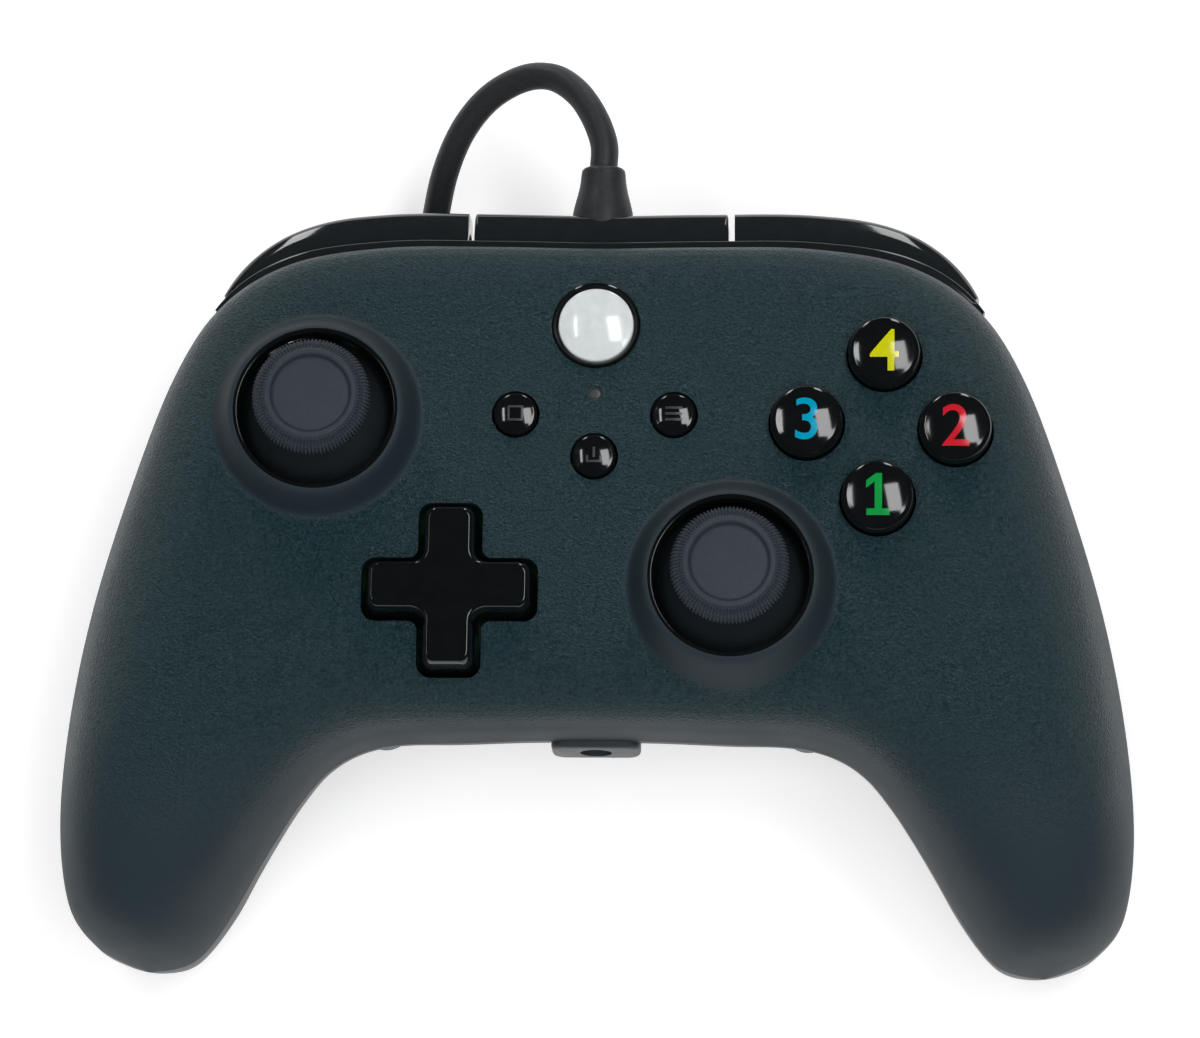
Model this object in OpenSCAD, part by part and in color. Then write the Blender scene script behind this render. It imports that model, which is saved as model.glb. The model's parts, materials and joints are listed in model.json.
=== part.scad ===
// Wired gamepad lying on its back, face up, with its lead.
// Millimetres. X to the right, Y away from the player, Z up, Z = 0 on the table.

/* [Body] */
// Width over both grips
body_w = 152; // [146:1:158]
// Top edge of the face, measured from the middle
edge_y = 45.5; // [44:0.5:48]
// Grip tips, measured from the middle
tip_y = 54.4; // [53:0.2:58]
// Bottom edge between the grips, measured from the middle
waist_y = 23; // [22:0.5:25]
// Height of the face above the table
face_z = 46; // [45:0.5:48]
// Height of the belly above the table
belly_z = 20.5; // [19.8:0.1:21.5]
// Wall of both shells
wall = 2.2; // [1.8:0.1:2.4]
// Seam left open between the shells
seam = 0.2; // [0.1:0.05:0.3]

/* [Top edge] */
// Overhang of the gloss band
trim_reach = 2.2; // [1.8:0.1:2.6]
// Top of the gloss band below the face
trim_drop = 7.6; // [7:0.1:8.2]
// Thickness of the gloss band
trim_t = 2.2; // [1.6:0.1:2.4]
// Reach of the bumpers past the face edge
bumper_reach = 7.8; // [7:0.1:9]
// Bottom edge of the bumpers above the table
bumper_base = 26.6; // [26:0.1:28]
// Slot between a bumper and the bridge
bumper_slot = 0.9; // [0.6:0.1:1.4]
// Half width of the bridge
bridge_half = 18.2; // [17:0.1:19]

/* [Triggers] */
// Trigger pin height
trigger_pin_z = 27.5; // [27:0.1:28.2]
// Trigger pin distance from the middle
trigger_pin_y = 38.8; // [38:0.1:39.4]
// Trigger pin radius
trigger_pin_r = 1; // [0.8:0.05:1.2]
// Trigger tip height above the table
trigger_tip_z = 0.6; // [0.2:0.1:2]

/* [Thumb sticks] */
// Left stick distance from the middle
stick_left_x = 38.9; // [38.2:0.1:39.8]
// Left stick height on the face
stick_left_y = 19.9; // [19.2:0.1:20.5]
// Right stick distance from the middle
stick_right_x = 19.4; // [18.8:0.1:20]
// Right stick height on the face
stick_right_y = -3.8; // [-4.3:0.1:-3]
// Rise of the crater rim over the face
rim_rise = 5; // [4.5:0.1:5.2]
// Crater mouth radius
well_r = 10.9; // [10.7:0.05:11.1]
// Gimbal height
gimbal_z = 38.5; // [38:0.1:38.8]
// Thumb cap radius
cap_r = 8.3; // [7.8:0.1:8.6]
// Thumb cap height
cap_h = 4.8; // [4.4:0.1:5.4]
// Thumb cap underside over the crater rim
cap_lift = 3.2; // [3.2:0.1:3.8]

/* [Buttons] */
// Action cluster centre, distance from the middle
action_x = 40.1; // [39.7:0.1:40.5]
// Action cluster centre, height on the face
action_y = 18.7; // [18.2:0.1:19.2]
// Action cluster radius
action_pcd_r = 10.4; // [10.2:0.1:10.8]
// Turn of the action cluster
action_turn = -2.3; // [-4:0.1:0]
// Action button radius
action_r = 5.05; // [4.8:0.05:5.2]
// Action button rise over the face
action_rise = 3.2; // [2.6:0.1:3.6]
// Small button radius
small_r = 3.05; // [2.8:0.05:3.2]
// Side of the small button row
small_x = 11.1; // [10.6:0.1:11.6]
// Height of the small button row
small_y = 20.3; // [19.8:0.1:20.8]
// Height of the middle small button
share_y = 14.3; // [13.8:0.1:14.8]
// Home button radius
home_r = 5.3; // [5:0.05:5.5]
// Home button height on the face
home_y = 33.3; // [32.8:0.1:33.8]
// Home bezel outer radius
home_bezel_r = 6.2; // [6.1:0.05:6.6]
// Status lens radius
lens_r = 1.05; // [0.9:0.05:1.2]
// Status lens height on the face
lens_y = 23.4; // [23.2:0.1:24]
// Clearance round a button in its hole
button_gap = 0.33; // [0.3:0.01:0.4]

/* [Direction pad] */
// Distance from the middle
dpad_x = 19.9; // [19.5:0.1:20.4]
// Height on the face
dpad_y = -4.9; // [-5.4:0.1:-4.4]
// Half span at the foot of the cross
dpad_half = 11.6; // [11.2:0.1:11.7]
// Half width of an arm at its foot
dpad_arm = 3.75; // [3.4:0.05:3.9]
// Clearance round the cross in its hole
dpad_gap = 0.75; // [0.7:0.05:0.9]
// Rise over the face
dpad_rise = 3.3; // [2.8:0.1:3.6]

/* [Inside] */
// Board underside above the table
board_z = 31; // [30.6:0.1:31.2]
// Board thickness
board_t = 1.6; // [1:0.1:1.6]
// Rumble motor radius
motor_r = 8; // [7:0.1:8.4]
// Rumble motor distance from the side of the body
motor_side = 17.5; // [17:0.1:18]
// Running clearance of small pins
run_gap = 0.05; // [0.03:0.01:0.08]

/* [Headset socket] */
// Socket bore radius
jack_r = 1.8; // [1.75:0.01:1.9]
// Socket bore depth
jack_depth = 13; // [11:0.5:14]
// Socket height above the table
jack_z = 26.1; // [25.9:0.1:26.3]

/* [Lead] */
// Cord radius
cord_r = 2; // [1.6:0.1:2.1]
// Height of the lead where it leaves the body
lead_z = 31; // [30.6:0.1:31.4]
// Turns in each layer of the coil
coil_turns = 5.75; // [5.25:0.5:5.75]
// Step from one turn of the coil to the next
coil_pitch = 4.45; // [4.4:0.05:4.5]
// Outer turn of the coil
coil_r = 36.1; // [36:0.1:36.4]
// Coil centre, measured from the middle
coil_y = 20.5; // [20:0.1:21]

/* [Hidden] */
$fn = 48;
half_w = body_w / 2;
// Breadth of the body as a share of the usual one, for what keeps its place across it
breadth = half_w / 76;
motor_x = half_w - motor_side;
eps = 0.05;
last = 13;
arc_steps = 16;

// Outline and section shares from the middle of the pad to the tip of the grip:
// outer x, outer y, inner x, inner y, seam drops outer and inner, roof drop, belly share,
// roundness of the top and of the bottom, outer and inner side.
shares = [
    [0, 1, 0, 0, 10, 16, 0, 1, 9, 5, 3, 3],
    [.197, 1.005, .125, .003, 10, 16, 0, 1, 9, 5, 3, 3],
    [.397, 1.003, .25, .012, 10, 16.5, 0, 1, 8, 5, 3, 3],
    [.574, .956, .363, .0175, 10.5, 17, 0, .98, 6.5, 4.6, 2.8, 2.8],
    [.706, .83, .439, .054, 12, 18, 0, .87, 4.6, 4.2, 2.6, 2.6],
    [.795, .613, .498, .134, 14, 19, 0, .69, 3.6, 3.8, 2.4, 2.5],
    [.875, .264, .546, .261, 17, 20, .2, .43, 3.1, 3.4, 2.3, 2.4],
    [.942, -.09, .589, .408, 20, 21.5, 1, .22, 2.9, 3, 2.3, 2.3],
    [.984, -.386, .63, .564, 22.5, 23, 3, .08, 2.7, 2.7, 2.3, 2.3],
    [1, -.644, .669, .718, 25, 25, 6, -.0097, 2.5, 2.5, 2.3, 2.3],
    [.984, -.84, .711, .86, 27, 27, 10.3, .1, 2.3, 2.3, 2.2, 2.2],
    [.937, -.932, .747, .947, 28, 28, 15, .3, 2.2, 2.2, 2.2, 2.2],
    [.886, -.974, .788, .986, 28.4, 28.4, 21.5, .57, 2.1, 2.1, 2.1, 2.1],
    [.836, -1, .836, 1, 28.5, 28.5, 28.5, .85, 2, 2, 2, 2]
];
stations = [for (r = shares) [
    r[0] * half_w,
    r[1] * (r[1] > 0 ? edge_y : tip_y),
    r[2] * half_w,
    -waist_y - r[3] * (tip_y - waist_y),
    face_z - r[4],
    face_z - r[5],
    face_z - r[6],
    belly_z * r[7],
    r[8], r[9], r[10], r[11]
]];

function mirrored(v) = [for (k = [0:len(v) - 1]) (k == 0 || k == 2) ? -v[k] : v[k]];
function blend4(a, b, c, d, f) = 0.5 * (2 * b + (c - a) * f + (2 * a - 5 * b + 4 * c - d) * f * f
    + (3 * b - a - 3 * c + d) * f * f * f);
function station_right(t) =
    let (i = min(floor(t), last - 1))
    blend4(
        i == 0 ? mirrored(stations[1]) : stations[i - 1],
        stations[i],
        stations[i + 1],
        i + 2 > last ? 2 * stations[last] - stations[last - 1] : stations[i + 2],
        t - i
    );
function station(s) = s < 0 ? mirrored(station_right(-s)) : station_right(s);

// One section of the shell: up is 1 for the face half and -1 for the belly half.
function section(s, up, inset, sink) =
    let (
        v = station(s),
        mid = [v[0] + v[2], v[1] + v[3]] / 2,
        half = [v[0] - v[2], v[1] - v[3]] / 2,
        k = 1 - inset / norm(half),
        zm = (v[4] + v[5]) / 2,
        zh = (v[4] - v[5]) / 2,
        crown = up > 0 ? v[6] - inset : v[7] + inset,
        lift = up * seam / 2,
        arc = [for (j = [0:arc_steps]) let (
            a = 180 * j / arc_steps,
            n = up > 0 ? (a <= 90 ? v[8] : v[9]) : (a <= 90 ? v[10] : v[11]),
            u = sign(cos(a)) * pow(abs(cos(a)), 2 / n) * k,
            w = pow(sin(a), 2 / n),
            zb = zm + zh * u + lift
        ) [mid[0] + half[0] * u, mid[1] + half[1] * u, zb + (crown - zb) * w]],
        low_o = [mid[0] + half[0] * k, mid[1] + half[1] * k, zm + zh * k - up * sink],
        low_i = [mid[0] - half[0] * k, mid[1] - half[1] * k, zm - zh * k - up * sink],
        ring = sink > 0 ? concat([low_o], arc, [low_i]) : arc
    )
    up > 0 ? ring : [for (j = [len(ring) - 1:-1:0]) ring[j]];

function flat(rows) = [for (row = rows) each row];
// The other way of splitting keeps two skins in step where one runs against the other.
function side_faces(count, m, other = false) = [for (i = [0:count - 2]) for (j = [0:m - 1])
    let (a = i * m + j, b = i * m + (j + 1) % m)
    each other ? [[a, a + m, b], [a + m, b + m, b]] : [[a, a + m, b + m], [a, b + m, b]]];

// Skin closed by a point at each end.
module pointed_skin(rings, first, last_pt, other = false) {
    m = len(rings[0]);
    c = len(rings);
    e = (c - 1) * m;
    polyhedron(
        points = concat(flat(rings), [first, last_pt]),
        faces = concat(
            side_faces(c, m, other),
            [for (j = [0:m - 1]) [j, (j + 1) % m, c * m]],
            [for (j = [0:m - 1]) [e + (j + 1) % m, e + j, c * m + 1]]
        ),
        convexity = 8
    );
}

// Skin closed by flat ends, for rings whose first half faces their second half.
module ended_skin(rings) {
    m = len(rings[0]);
    c = len(rings);
    e = (c - 1) * m;
    polyhedron(
        points = flat(rings),
        faces = concat(
            side_faces(c, m),
            [for (k = [0:m / 2 - 2]) each [[k, k + 1, m - 2 - k], [k, m - 2 - k, m - 1 - k]]],
            [for (k = [0:m / 2 - 2])
                each [[e + m - 2 - k, e + k + 1, e + k], [e + m - 1 - k, e + m - 2 - k, e + k]]]
        ),
        convexity = 8
    );
}

function seam_mid(s) =
    let (v = station(s))
    [(v[0] + v[2]) / 2, (v[1] + v[3]) / 2, (v[4] + v[5]) / 2];

core_rings = 25;
core_end = last - 0.3;
cavity_rings = 24;
cavity_end = last - 1.6;

module shell_core(up) {
    pointed_skin(
        [for (k = [-core_rings:core_rings]) section(k * core_end / core_rings, up, 0, 0)],
        seam_mid(-last) + [0, 0, up * seam / 2],
        seam_mid(last) + [0, 0, up * seam / 2],
        up < 0
    );
}

module shell_cavity(up) {
    pointed_skin(
        [for (k = [-cavity_rings:cavity_rings]) section(k * cavity_end / cavity_rings, up, wall, 3)],
        seam_mid(-cavity_end - 0.5),
        seam_mid(cavity_end + 0.5)
    );
}

// Outline of the top edge with its outward normal.
function edge_at(s) = [station(s)[0], station(s)[1]];
function edge_normal(s) =
    let (d = edge_at(s + 0.02) - edge_at(s - 0.02))
    [-d[1], d[0]] / norm(d);
function edge_points(s, profile, hold, share) = [for (p = profile)
    let (q = edge_at(s) + edge_normal(s) * (p[0] > hold ? hold + (p[0] - hold) * share : p[0]))
    [q[0], q[1], p[1]]];

// Band swept along the top edge: the outer line from top to bottom, then the inner line in step with it.
module edge_band(s0, s1, count, outer, inner, hold, fade) {
    profile = concat([for (k = [len(outer) - 1:-1:0]) outer[k]], inner);
    ended_skin([for (k = [0:count])
        let (s = s0 + (s1 - s0) * k / count)
        edge_points(s, profile, hold, shoulder_fade(abs(s), fade))]);
}

// A band keeps its reach to one station, then rounds off towards another; the last share stays as its wall.
lip_fade = [2.25, 3.92];
trim_fade = [2.6, 4.1];
no_fade = [99, 100];
fade_end = 0.08;
function shoulder_fade(t, ends) = t < ends[0] ? 1
    : fade_end + (1 - fade_end) * max(0, 1 - pow((t - ends[0]) / (ends[1] - ends[0]), 2));

function arc_points(cx, cy, r, a0, a1, count) = [for (k = [0:count])
    let (a = a0 + (a1 - a0) * k / count)
    [cx + r * cos(a), cy + r * sin(a)]];

// Rounded rectangle about the origin.
module rounded_plate(w, h, r, t) {
    linear_extrude(height = t)
        polygon(concat(
            arc_points(w / 2 - r, h / 2 - r, r, 0, 90, 6),
            arc_points(-w / 2 + r, h / 2 - r, r, 90, 180, 6),
            arc_points(-w / 2 + r, -h / 2 + r, r, 180, 270, 6),
            arc_points(w / 2 - r, -h / 2 + r, r, 270, 360, 6)
        ));
}

// Cross with rounded arm ends and rounded inner corners.
module cross_plate(half, arm, r, t) {
    c = 0.8;
    one = concat(
        arc_points(half - r, -arm + r, r, -90, 0, 4),
        arc_points(half - r, arm - r, r, 0, 90, 4),
        arc_points(arm + c, arm + c, c, 270, 180, 4)
    );
    linear_extrude(height = t)
        polygon([for (q = [0:3]) for (p = one)
            [p[0] * cos(90 * q) - p[1] * sin(90 * q), p[0] * sin(90 * q) + p[1] * cos(90 * q)]]);
}

module at(p) {
    translate(p) children();
}

module both_sides() {
    children();
    mirror([1, 0, 0]) children();
}

// Places on the face
stick_left = [-stick_left_x, stick_left_y, gimbal_z];
stick_right = [stick_right_x, stick_right_y, gimbal_z];
action_places = [
    for (q = [0:3])
        let (a = 90 * q + action_turn)
            [action_x + action_pcd_r * cos(a), action_y + action_pcd_r * sin(a), 0]
];
small_places = [[-small_x, small_y, 0], [small_x, small_y, 0], [0, share_y, 0]];
dpad_at = [-dpad_x, dpad_y, 0];
home_at = [0, home_y, 0];
lens_at = [0, lens_y, 0];
// Screws: place, countersink depth and top of the thread
screw_places = [
    [30 * breadth, -waist_y + 3.5, 23, 35],
    [60 * breadth, 2, 11, 35],
    [62 * breadth, -40, 1, 26]
];

rim_z = face_z + rim_rise;
guide_z = face_z - 4;
guide_wall = 1;
well_clear = 0.5;
dome_r = 13.2;
dome_t = 1.2;
ring_t = 0.6;
ring_h = 2.5;
ring_fit = 0.05;
flange_gap = 0.3;
flange_t = 1.2;
board_top = board_z + board_t;
trim_top = face_z - trim_drop;
trim_base = trim_top - trim_t;

// Screws
screw_r = 1.3;
screw_head_r = 2.4;
screw_head_h = 1.6;
post_r = 2.8;
boss_r = 3.9;

module guide_tubes() {
    for (p = action_places)
        translate([p[0], p[1], guide_z])
            cylinder(r = action_r + button_gap + guide_wall, h = 20);
    for (p = small_places)
        translate([p[0], p[1], guide_z])
            cylinder(r = small_r + button_gap + guide_wall, h = 20);
    translate([0, home_y, guide_z])
        cylinder(r = home_bezel_r + ring_fit + guide_wall, h = 20);
    translate([0, lens_y, guide_z])
        cylinder(r = lens_r + ring_fit + guide_wall, h = 20);
    translate([dpad_at[0], dpad_at[1], guide_z])
        cross_plate(dpad_half + dpad_gap + guide_wall, dpad_arm + dpad_gap + guide_wall, 1.6, 20);
    both_sides()
        for (p = screw_places)
            translate([p[0], p[1], 5])
                cylinder(r = post_r, h = 50);
}

module crater() {
    rotate_extrude()
        polygon([
            [well_r - 3, face_z - 3],
            [well_r - 3, rim_z],
            [12.1, rim_z],
            [12.6, rim_z - 0.3],
            [13.3, rim_z - 1.5],
            [14.3, face_z + 1.4],
            [15.1, face_z + 0.5],
            [16.2, face_z - 0.3],
            [17.4, face_z - 1.2],
            [18.8, face_z - 2.3],
            [18.8, face_z - 3]
        ]);
}

module front_shell() {
    color([0.13, 0.16, 0.17])
        difference() {
            union() {
                difference() {
                    shell_core(1);
                    difference() {
                        shell_cavity(1);
                        guide_tubes();
                    }
                }
                intersection() {
                    union() {
                        translate([stick_left[0], stick_left[1], 0]) crater();
                        translate([stick_right[0], stick_right[1], 0]) crater();
                    }
                    translate([-80, -80, face_z - 2.9]) cube([160, 160, 20]);
                }
            }
            for (p = [stick_left, stick_right]) {
                translate(p) sphere(r = dome_r + well_clear);
                translate([p[0], p[1], face_z - 2]) cylinder(r = well_r, h = 20);
                translate([p[0], p[1], rim_z - ring_h - ring_fit])
                    cylinder(r = well_r + ring_t + ring_fit, h = 20);
            }
            for (p = action_places)
                translate([p[0], p[1], guide_z - 5]) cylinder(r = action_r + button_gap, h = 30);
            for (p = small_places)
                translate([p[0], p[1], guide_z - 5]) cylinder(r = small_r + button_gap, h = 30);
            translate([0, home_y, guide_z - 5]) cylinder(r = home_bezel_r + ring_fit, h = 30);
            translate([0, lens_y, guide_z - 5]) cylinder(r = lens_r + ring_fit, h = 30);
            translate([dpad_at[0], dpad_at[1], guide_z - 5])
                cross_plate(dpad_half + dpad_gap, dpad_arm + dpad_gap, 1.2, 30);
            both_sides()
                for (p = screw_places)
                    translate([p[0], p[1], 5]) cylinder(r = screw_r + run_gap, h = screw_top(p) - 4);
        }
}

pocket_in = 9.5;
pocket_z0 = 4;
pocket_z1 = 33;
trigger_s0 = 2.16;
trigger_s1 = 3.65;

module trigger_pocket(side) {
    s0 = side * (trigger_s0 - 0.06);
    s1 = side * (trigger_s1 + 0.12);
    edge_band(min(s0, s1), max(s0, s1), 10,
        [[4, pocket_z1], [4, pocket_z0]],
        [[-pocket_in, pocket_z1], [-pocket_in, pocket_z0]], 99, no_fade);
}

jack_w = 12.6;
jack_h = 7.8;
jack_fit = 0.15;
jack_face = -waist_y - 1;

module jack_outline(grow) {
    translate([0, jack_face, jack_z])
        rotate([-90, 0, 0])
            translate([0, 0, -grow])
                rounded_plate(jack_w + 2 * grow, jack_h + 2 * grow, 2.2, 9 + 2 * grow);
}

module jack_block(grow) {
    translate([-4.5 - grow, jack_face + 8, jack_z - 2.5 - grow])
        cube([9 + 2 * grow, 9.6 + grow, board_z - 0.1 - jack_z + 2.5 + grow]);
}

relief_r = 4.35;
relief_neck_r = 3.9;
relief_gap = 0.15;

module back_posts() {
    both_sides()
        for (p = screw_places)
            translate([p[0], p[1], -2]) cylinder(r = boss_r, h = 60);
    both_sides()
        translate([motor_x - 4, -22, -2]) cube([8, 8, 22]);
    for (p = board_posts)
        translate([p[0], p[1], 10]) cylinder(r = 2.4, h = board_z - 10.1);
}

board_posts = [[-46 * breadth, 4], [46 * breadth, 4], [-6, 27], [10, 27]];

module back_shell() {
    color([0.2, 0.22, 0.24])
        difference() {
            shell_core(-1);
            difference() {
                shell_cavity(-1);
                back_posts();
            }
            trigger_pocket(1);
            trigger_pocket(-1);
            both_sides()
                for (p = screw_places) {
                    translate([p[0], p[1], -5])
                        cylinder(r = screw_head_r + 0.3, h = p[2] + 5 + screw_head_h + 1.2);
                    translate([p[0], p[1], -5]) cylinder(r = screw_r + 0.3, h = 60);
                }
            both_sides()
                translate([motor_x, -30, motor_z])
                    rotate([-90, 0, 0]) cylinder(r = motor_r + run_gap, h = 30);
            jack_outline(jack_fit);
            jack_block(jack_fit);
            translate([0, edge_y + 4, lead_z])
                rotate([90, 0, 0]) cylinder(r = relief_neck_r + relief_gap, h = 11.2);
        }
}

trim_end = 4.08;

module top_trim() {
    color([0.02, 0.02, 0.02])
        edge_band(-trim_end, trim_end, 44,
            [
                [seam, trim_top], [trim_reach - 0.4, trim_top],
                [trim_reach, trim_top - 0.4], [trim_reach, trim_base]
            ],
            [
                [seam, trim_top - 0.6], [seam + 0.1, trim_base + 0.9],
                [seam + 0.1, trim_base + 0.4], [seam, trim_base]
            ],
            seam + 0.15, trim_fade);
}

bumper_top = trim_base - 0.3;
bumper_in = 1.5;
lip_rise = bumper_top - bumper_base;

// Rounded lip shared by the bumpers and the bridge, from under the band to the bottom edge.
lip_outer = [
    [bumper_in, bumper_top],
    [0.6 * bumper_reach, bumper_top - 0.045 * lip_rise],
    [0.8 * bumper_reach, bumper_top - 0.1 * lip_rise],
    [0.9 * bumper_reach, bumper_top - 0.16 * lip_rise],
    [0.96 * bumper_reach, bumper_top - 0.26 * lip_rise],
    [0.99 * bumper_reach, bumper_top - 0.4 * lip_rise],
    [bumper_reach, bumper_top - 0.62 * lip_rise],
    [0.97 * bumper_reach, bumper_base]
];
lip_t = 2.2;
lip_inner = [
    [bumper_in, bumper_top - lip_t],
    [0.4 * bumper_reach, bumper_top - 1.1 * lip_t],
    [0.5 * bumper_reach, bumper_top - 0.3 * lip_rise],
    [0.58 * bumper_reach, bumper_top - 0.38 * lip_rise],
    [0.64 * bumper_reach, bumper_top - 0.46 * lip_rise],
    [0.68 * bumper_reach, bumper_top - 0.6 * lip_rise],
    [0.7 * bumper_reach, bumper_top - 0.78 * lip_rise],
    [0.68 * bumper_reach, bumper_base]
];
bridge_inner = [for (k = [0:7]) [seam, bumper_top - lip_rise * k / 7]];

// Station of the top edge that lies at a given X, from the pitch of the stations beside it.
function edge_station(x) = 1 + (x - stations[1][0]) / (stations[2][0] - stations[1][0]);

bridge_s = edge_station(bridge_half);
bumper_s0 = edge_station(bridge_half + bumper_slot);
bumper_s1 = 3.86;
bumper_pin_r = 1;
bumper_pin_x = bridge_half + 4.2;
bumper_pin = [bumper_pin_x, edge_at(edge_station(bumper_pin_x))[1] + 3.2];
tab_z = bumper_base + 1.8;

module top_bridge() {
    color([0.02, 0.02, 0.02])
        difference() {
            union() {
                edge_band(-bridge_s, bridge_s, 16, lip_outer, bridge_inner, 99, no_fade);
                both_sides() {
                    translate([bridge_half - 1, bumper_pin[1] - 1.7, bumper_base])
                        cube([7, 3.4, tab_z - bumper_base]);
                    translate([bumper_pin[0], bumper_pin[1], bumper_base])
                        cylinder(r = bumper_pin_r, h = 6);
                }
            }
            translate([0, edge_y + 12, lead_z])
                rotate([90, 0, 0]) cylinder(r = relief_r + relief_gap, h = 13);
        }
}

cheek_x0 = 32 * breadth;
cheek_x1 = 45.4 * breadth;
switch_x = cheek_x0 + 4;

module bumper(side) {
    s0 = side * bumper_s0;
    s1 = side * bumper_s1;
    boss_top = bumper_top - 0.6 * lip_t;
    difference() {
        union() {
            edge_band(min(s0, s1), max(s0, s1), 24, lip_outer, lip_inner, bumper_in, lip_fade);
            translate([side * bumper_pin[0], bumper_pin[1], tab_z + 0.35])
                cylinder(r = 1.9, h = boss_top - tab_z - 0.35);
            translate([side * switch_x - 1.5, edge_at(edge_station(switch_x))[1] + 2.6, bumper_base + 2.6])
                cube([3, 3.2, 3]);
        }
        translate([side * bumper_pin[0], bumper_pin[1], bumper_base])
            cylinder(r = bumper_pin_r + run_gap, h = 6.4);
    }
}

module bumper_left() {
    color([0.02, 0.02, 0.02]) bumper(-1);
}

module bumper_right() {
    color([0.02, 0.02, 0.02]) bumper(1);
}

// Trigger paddle: outer line from top to tip, inner line in step with it.
trigger_top = bumper_base - 0.7;
paddle_h = trigger_top - trigger_tip_z;
paddle_outer = [
    [5.6, trigger_top],
    [6.4, trigger_top - 0.2 * paddle_h],
    [7, trigger_top - 0.45 * paddle_h],
    [7.5, trigger_top - 0.68 * paddle_h],
    [8.4, trigger_top - 0.86 * paddle_h],
    [10, trigger_tip_z + 0.6],
    [9.6, trigger_tip_z]
];
paddle_inner = [
    [2.2, trigger_top],
    [-2.6, trigger_top - 0.2 * paddle_h],
    [0.4, trigger_top - 0.45 * paddle_h],
    [3.2, trigger_top - 0.68 * paddle_h],
    [5.6, trigger_top - 0.86 * paddle_h],
    [7.5, trigger_tip_z + 0.6],
    [8.2, trigger_tip_z]
];
arm_x0 = cheek_x0 + 6.4;
arm_x1 = cheek_x1 - 0.5;
trigger_boss_r = 2.6;

module trigger_hub(side) {
    x = side > 0 ? arm_x0 : -arm_x1;
    translate([x, trigger_pin_y, trigger_pin_z])
        rotate([0, 90, 0]) cylinder(r = trigger_boss_r, h = arm_x1 - arm_x0);
    translate([x, trigger_pin_y - 2, trigger_top - 4])
        cube([arm_x1 - arm_x0, 6, 5]);
}

module trigger(side) {
    s0 = side * trigger_s0;
    s1 = side * trigger_s1;
    difference() {
        union() {
            edge_band(min(s0, s1), max(s0, s1), 14, paddle_outer, paddle_inner, 0, lip_fade);
            trigger_hub(side);
        }
        translate([-80, trigger_pin_y, trigger_pin_z])
            rotate([0, 90, 0]) cylinder(r = trigger_pin_r + run_gap, h = 160);
    }
}

module trigger_left() {
    color([0.03, 0.03, 0.03]) trigger(-1);
}

module trigger_right() {
    color([0.03, 0.03, 0.03]) trigger(1);
}

cheek_t = 1.6;
frame_y = trigger_pin_y - 6;

// Bracket that carries both ends of a trigger pin and the bumper switch.
module trigger_bracket() {
    difference() {
        union() {
            translate([cheek_x0, frame_y, trigger_pin_z - 2])
                cube([cheek_x1 + cheek_t - cheek_x0, 1.6, board_z - trigger_pin_z + 1.9]);
            for (x = [cheek_x0, cheek_x1])
                translate([x, frame_y, trigger_pin_z - 2]) cube([cheek_t, 9.6, 4.4]);
            translate([cheek_x0, trigger_pin_y + 2.5, trigger_pin_z + 0.4]) cube([cheek_t, 1.6, 4.6]);
            translate([cheek_x0, trigger_pin_y + 2.9, trigger_pin_z + 0.4]) cube([6, 1.2, 4.6]);
        }
        translate([cheek_x0 - 1, trigger_pin_y, trigger_pin_z])
            rotate([0, 90, 0]) cylinder(r = trigger_pin_r + 0.02, h = 20);
    }
}

module trigger_frame_left() {
    color([0.25, 0.26, 0.27]) mirror([1, 0, 0]) trigger_bracket();
}

module trigger_frame_right() {
    color([0.25, 0.26, 0.27]) trigger_bracket();
}

module trigger_pins() {
    color([0.7, 0.7, 0.72])
        both_sides()
            translate([cheek_x0, trigger_pin_y, trigger_pin_z])
                rotate([0, 90, 0]) cylinder(r = trigger_pin_r, h = cheek_x1 + cheek_t - cheek_x0);
}

module trigger_springs() {
    color([0.75, 0.75, 0.76])
        both_sides()
            translate([cheek_x0 + cheek_t + 0.2, trigger_pin_y, trigger_pin_z])
                rotate([0, 90, 0])
                    difference() {
                        cylinder(r = 2, h = arm_x0 - cheek_x0 - cheek_t - 0.6);
                        translate([0, 0, -1]) cylinder(r = trigger_pin_r + 0.25, h = 20);
                    }
}

module bumper_switches() {
    color([0.1, 0.1, 0.1])
        both_sides() {
            translate([switch_x - 2, trigger_pin_y + 4.15, trigger_pin_z + 0.7]) cube([4, 2, 4]);
            translate([switch_x, trigger_pin_y + 6.1, trigger_pin_z + 2.7])
                rotate([-90, 0, 0]) cylinder(r = 1, h = 0.7);
        }
}

// Thumb stick pieces, drawn about the gimbal centre.
housing_half = 7.4;
housing_top = 2.6;
housing_t = 1;
yoke_pin_r = 1.1;
post_rod_r = 1.8;
post_top = 13.6;
ring_half_x = housing_half - 2.8;
ring_half_y = 3.4;
arch_r = housing_half - housing_t - 0.2;
neck_r = 4.2;
cap_base = rim_rise + cap_lift + face_z - gimbal_z;

module stick_housing() {
    base = board_top + 0.1 - gimbal_z;
    difference() {
        translate([-housing_half, -housing_half, base])
            cube([2 * housing_half, 2 * housing_half, housing_top - base]);
        translate([-housing_half + housing_t, -housing_half + housing_t, base + 1.2])
            cube([2 * (housing_half - housing_t), 2 * (housing_half - housing_t), 20]);
        for (q = [0, 90])
            rotate([0, 90, q]) translate([0, 0, -20]) cylinder(r = yoke_pin_r + run_gap, h = 40);
    }
    translate([housing_half, -4, base]) cube([2.4, 8, 7]);
    translate([-4, housing_half, base]) cube([8, 2.4, 7]);
}

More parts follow.
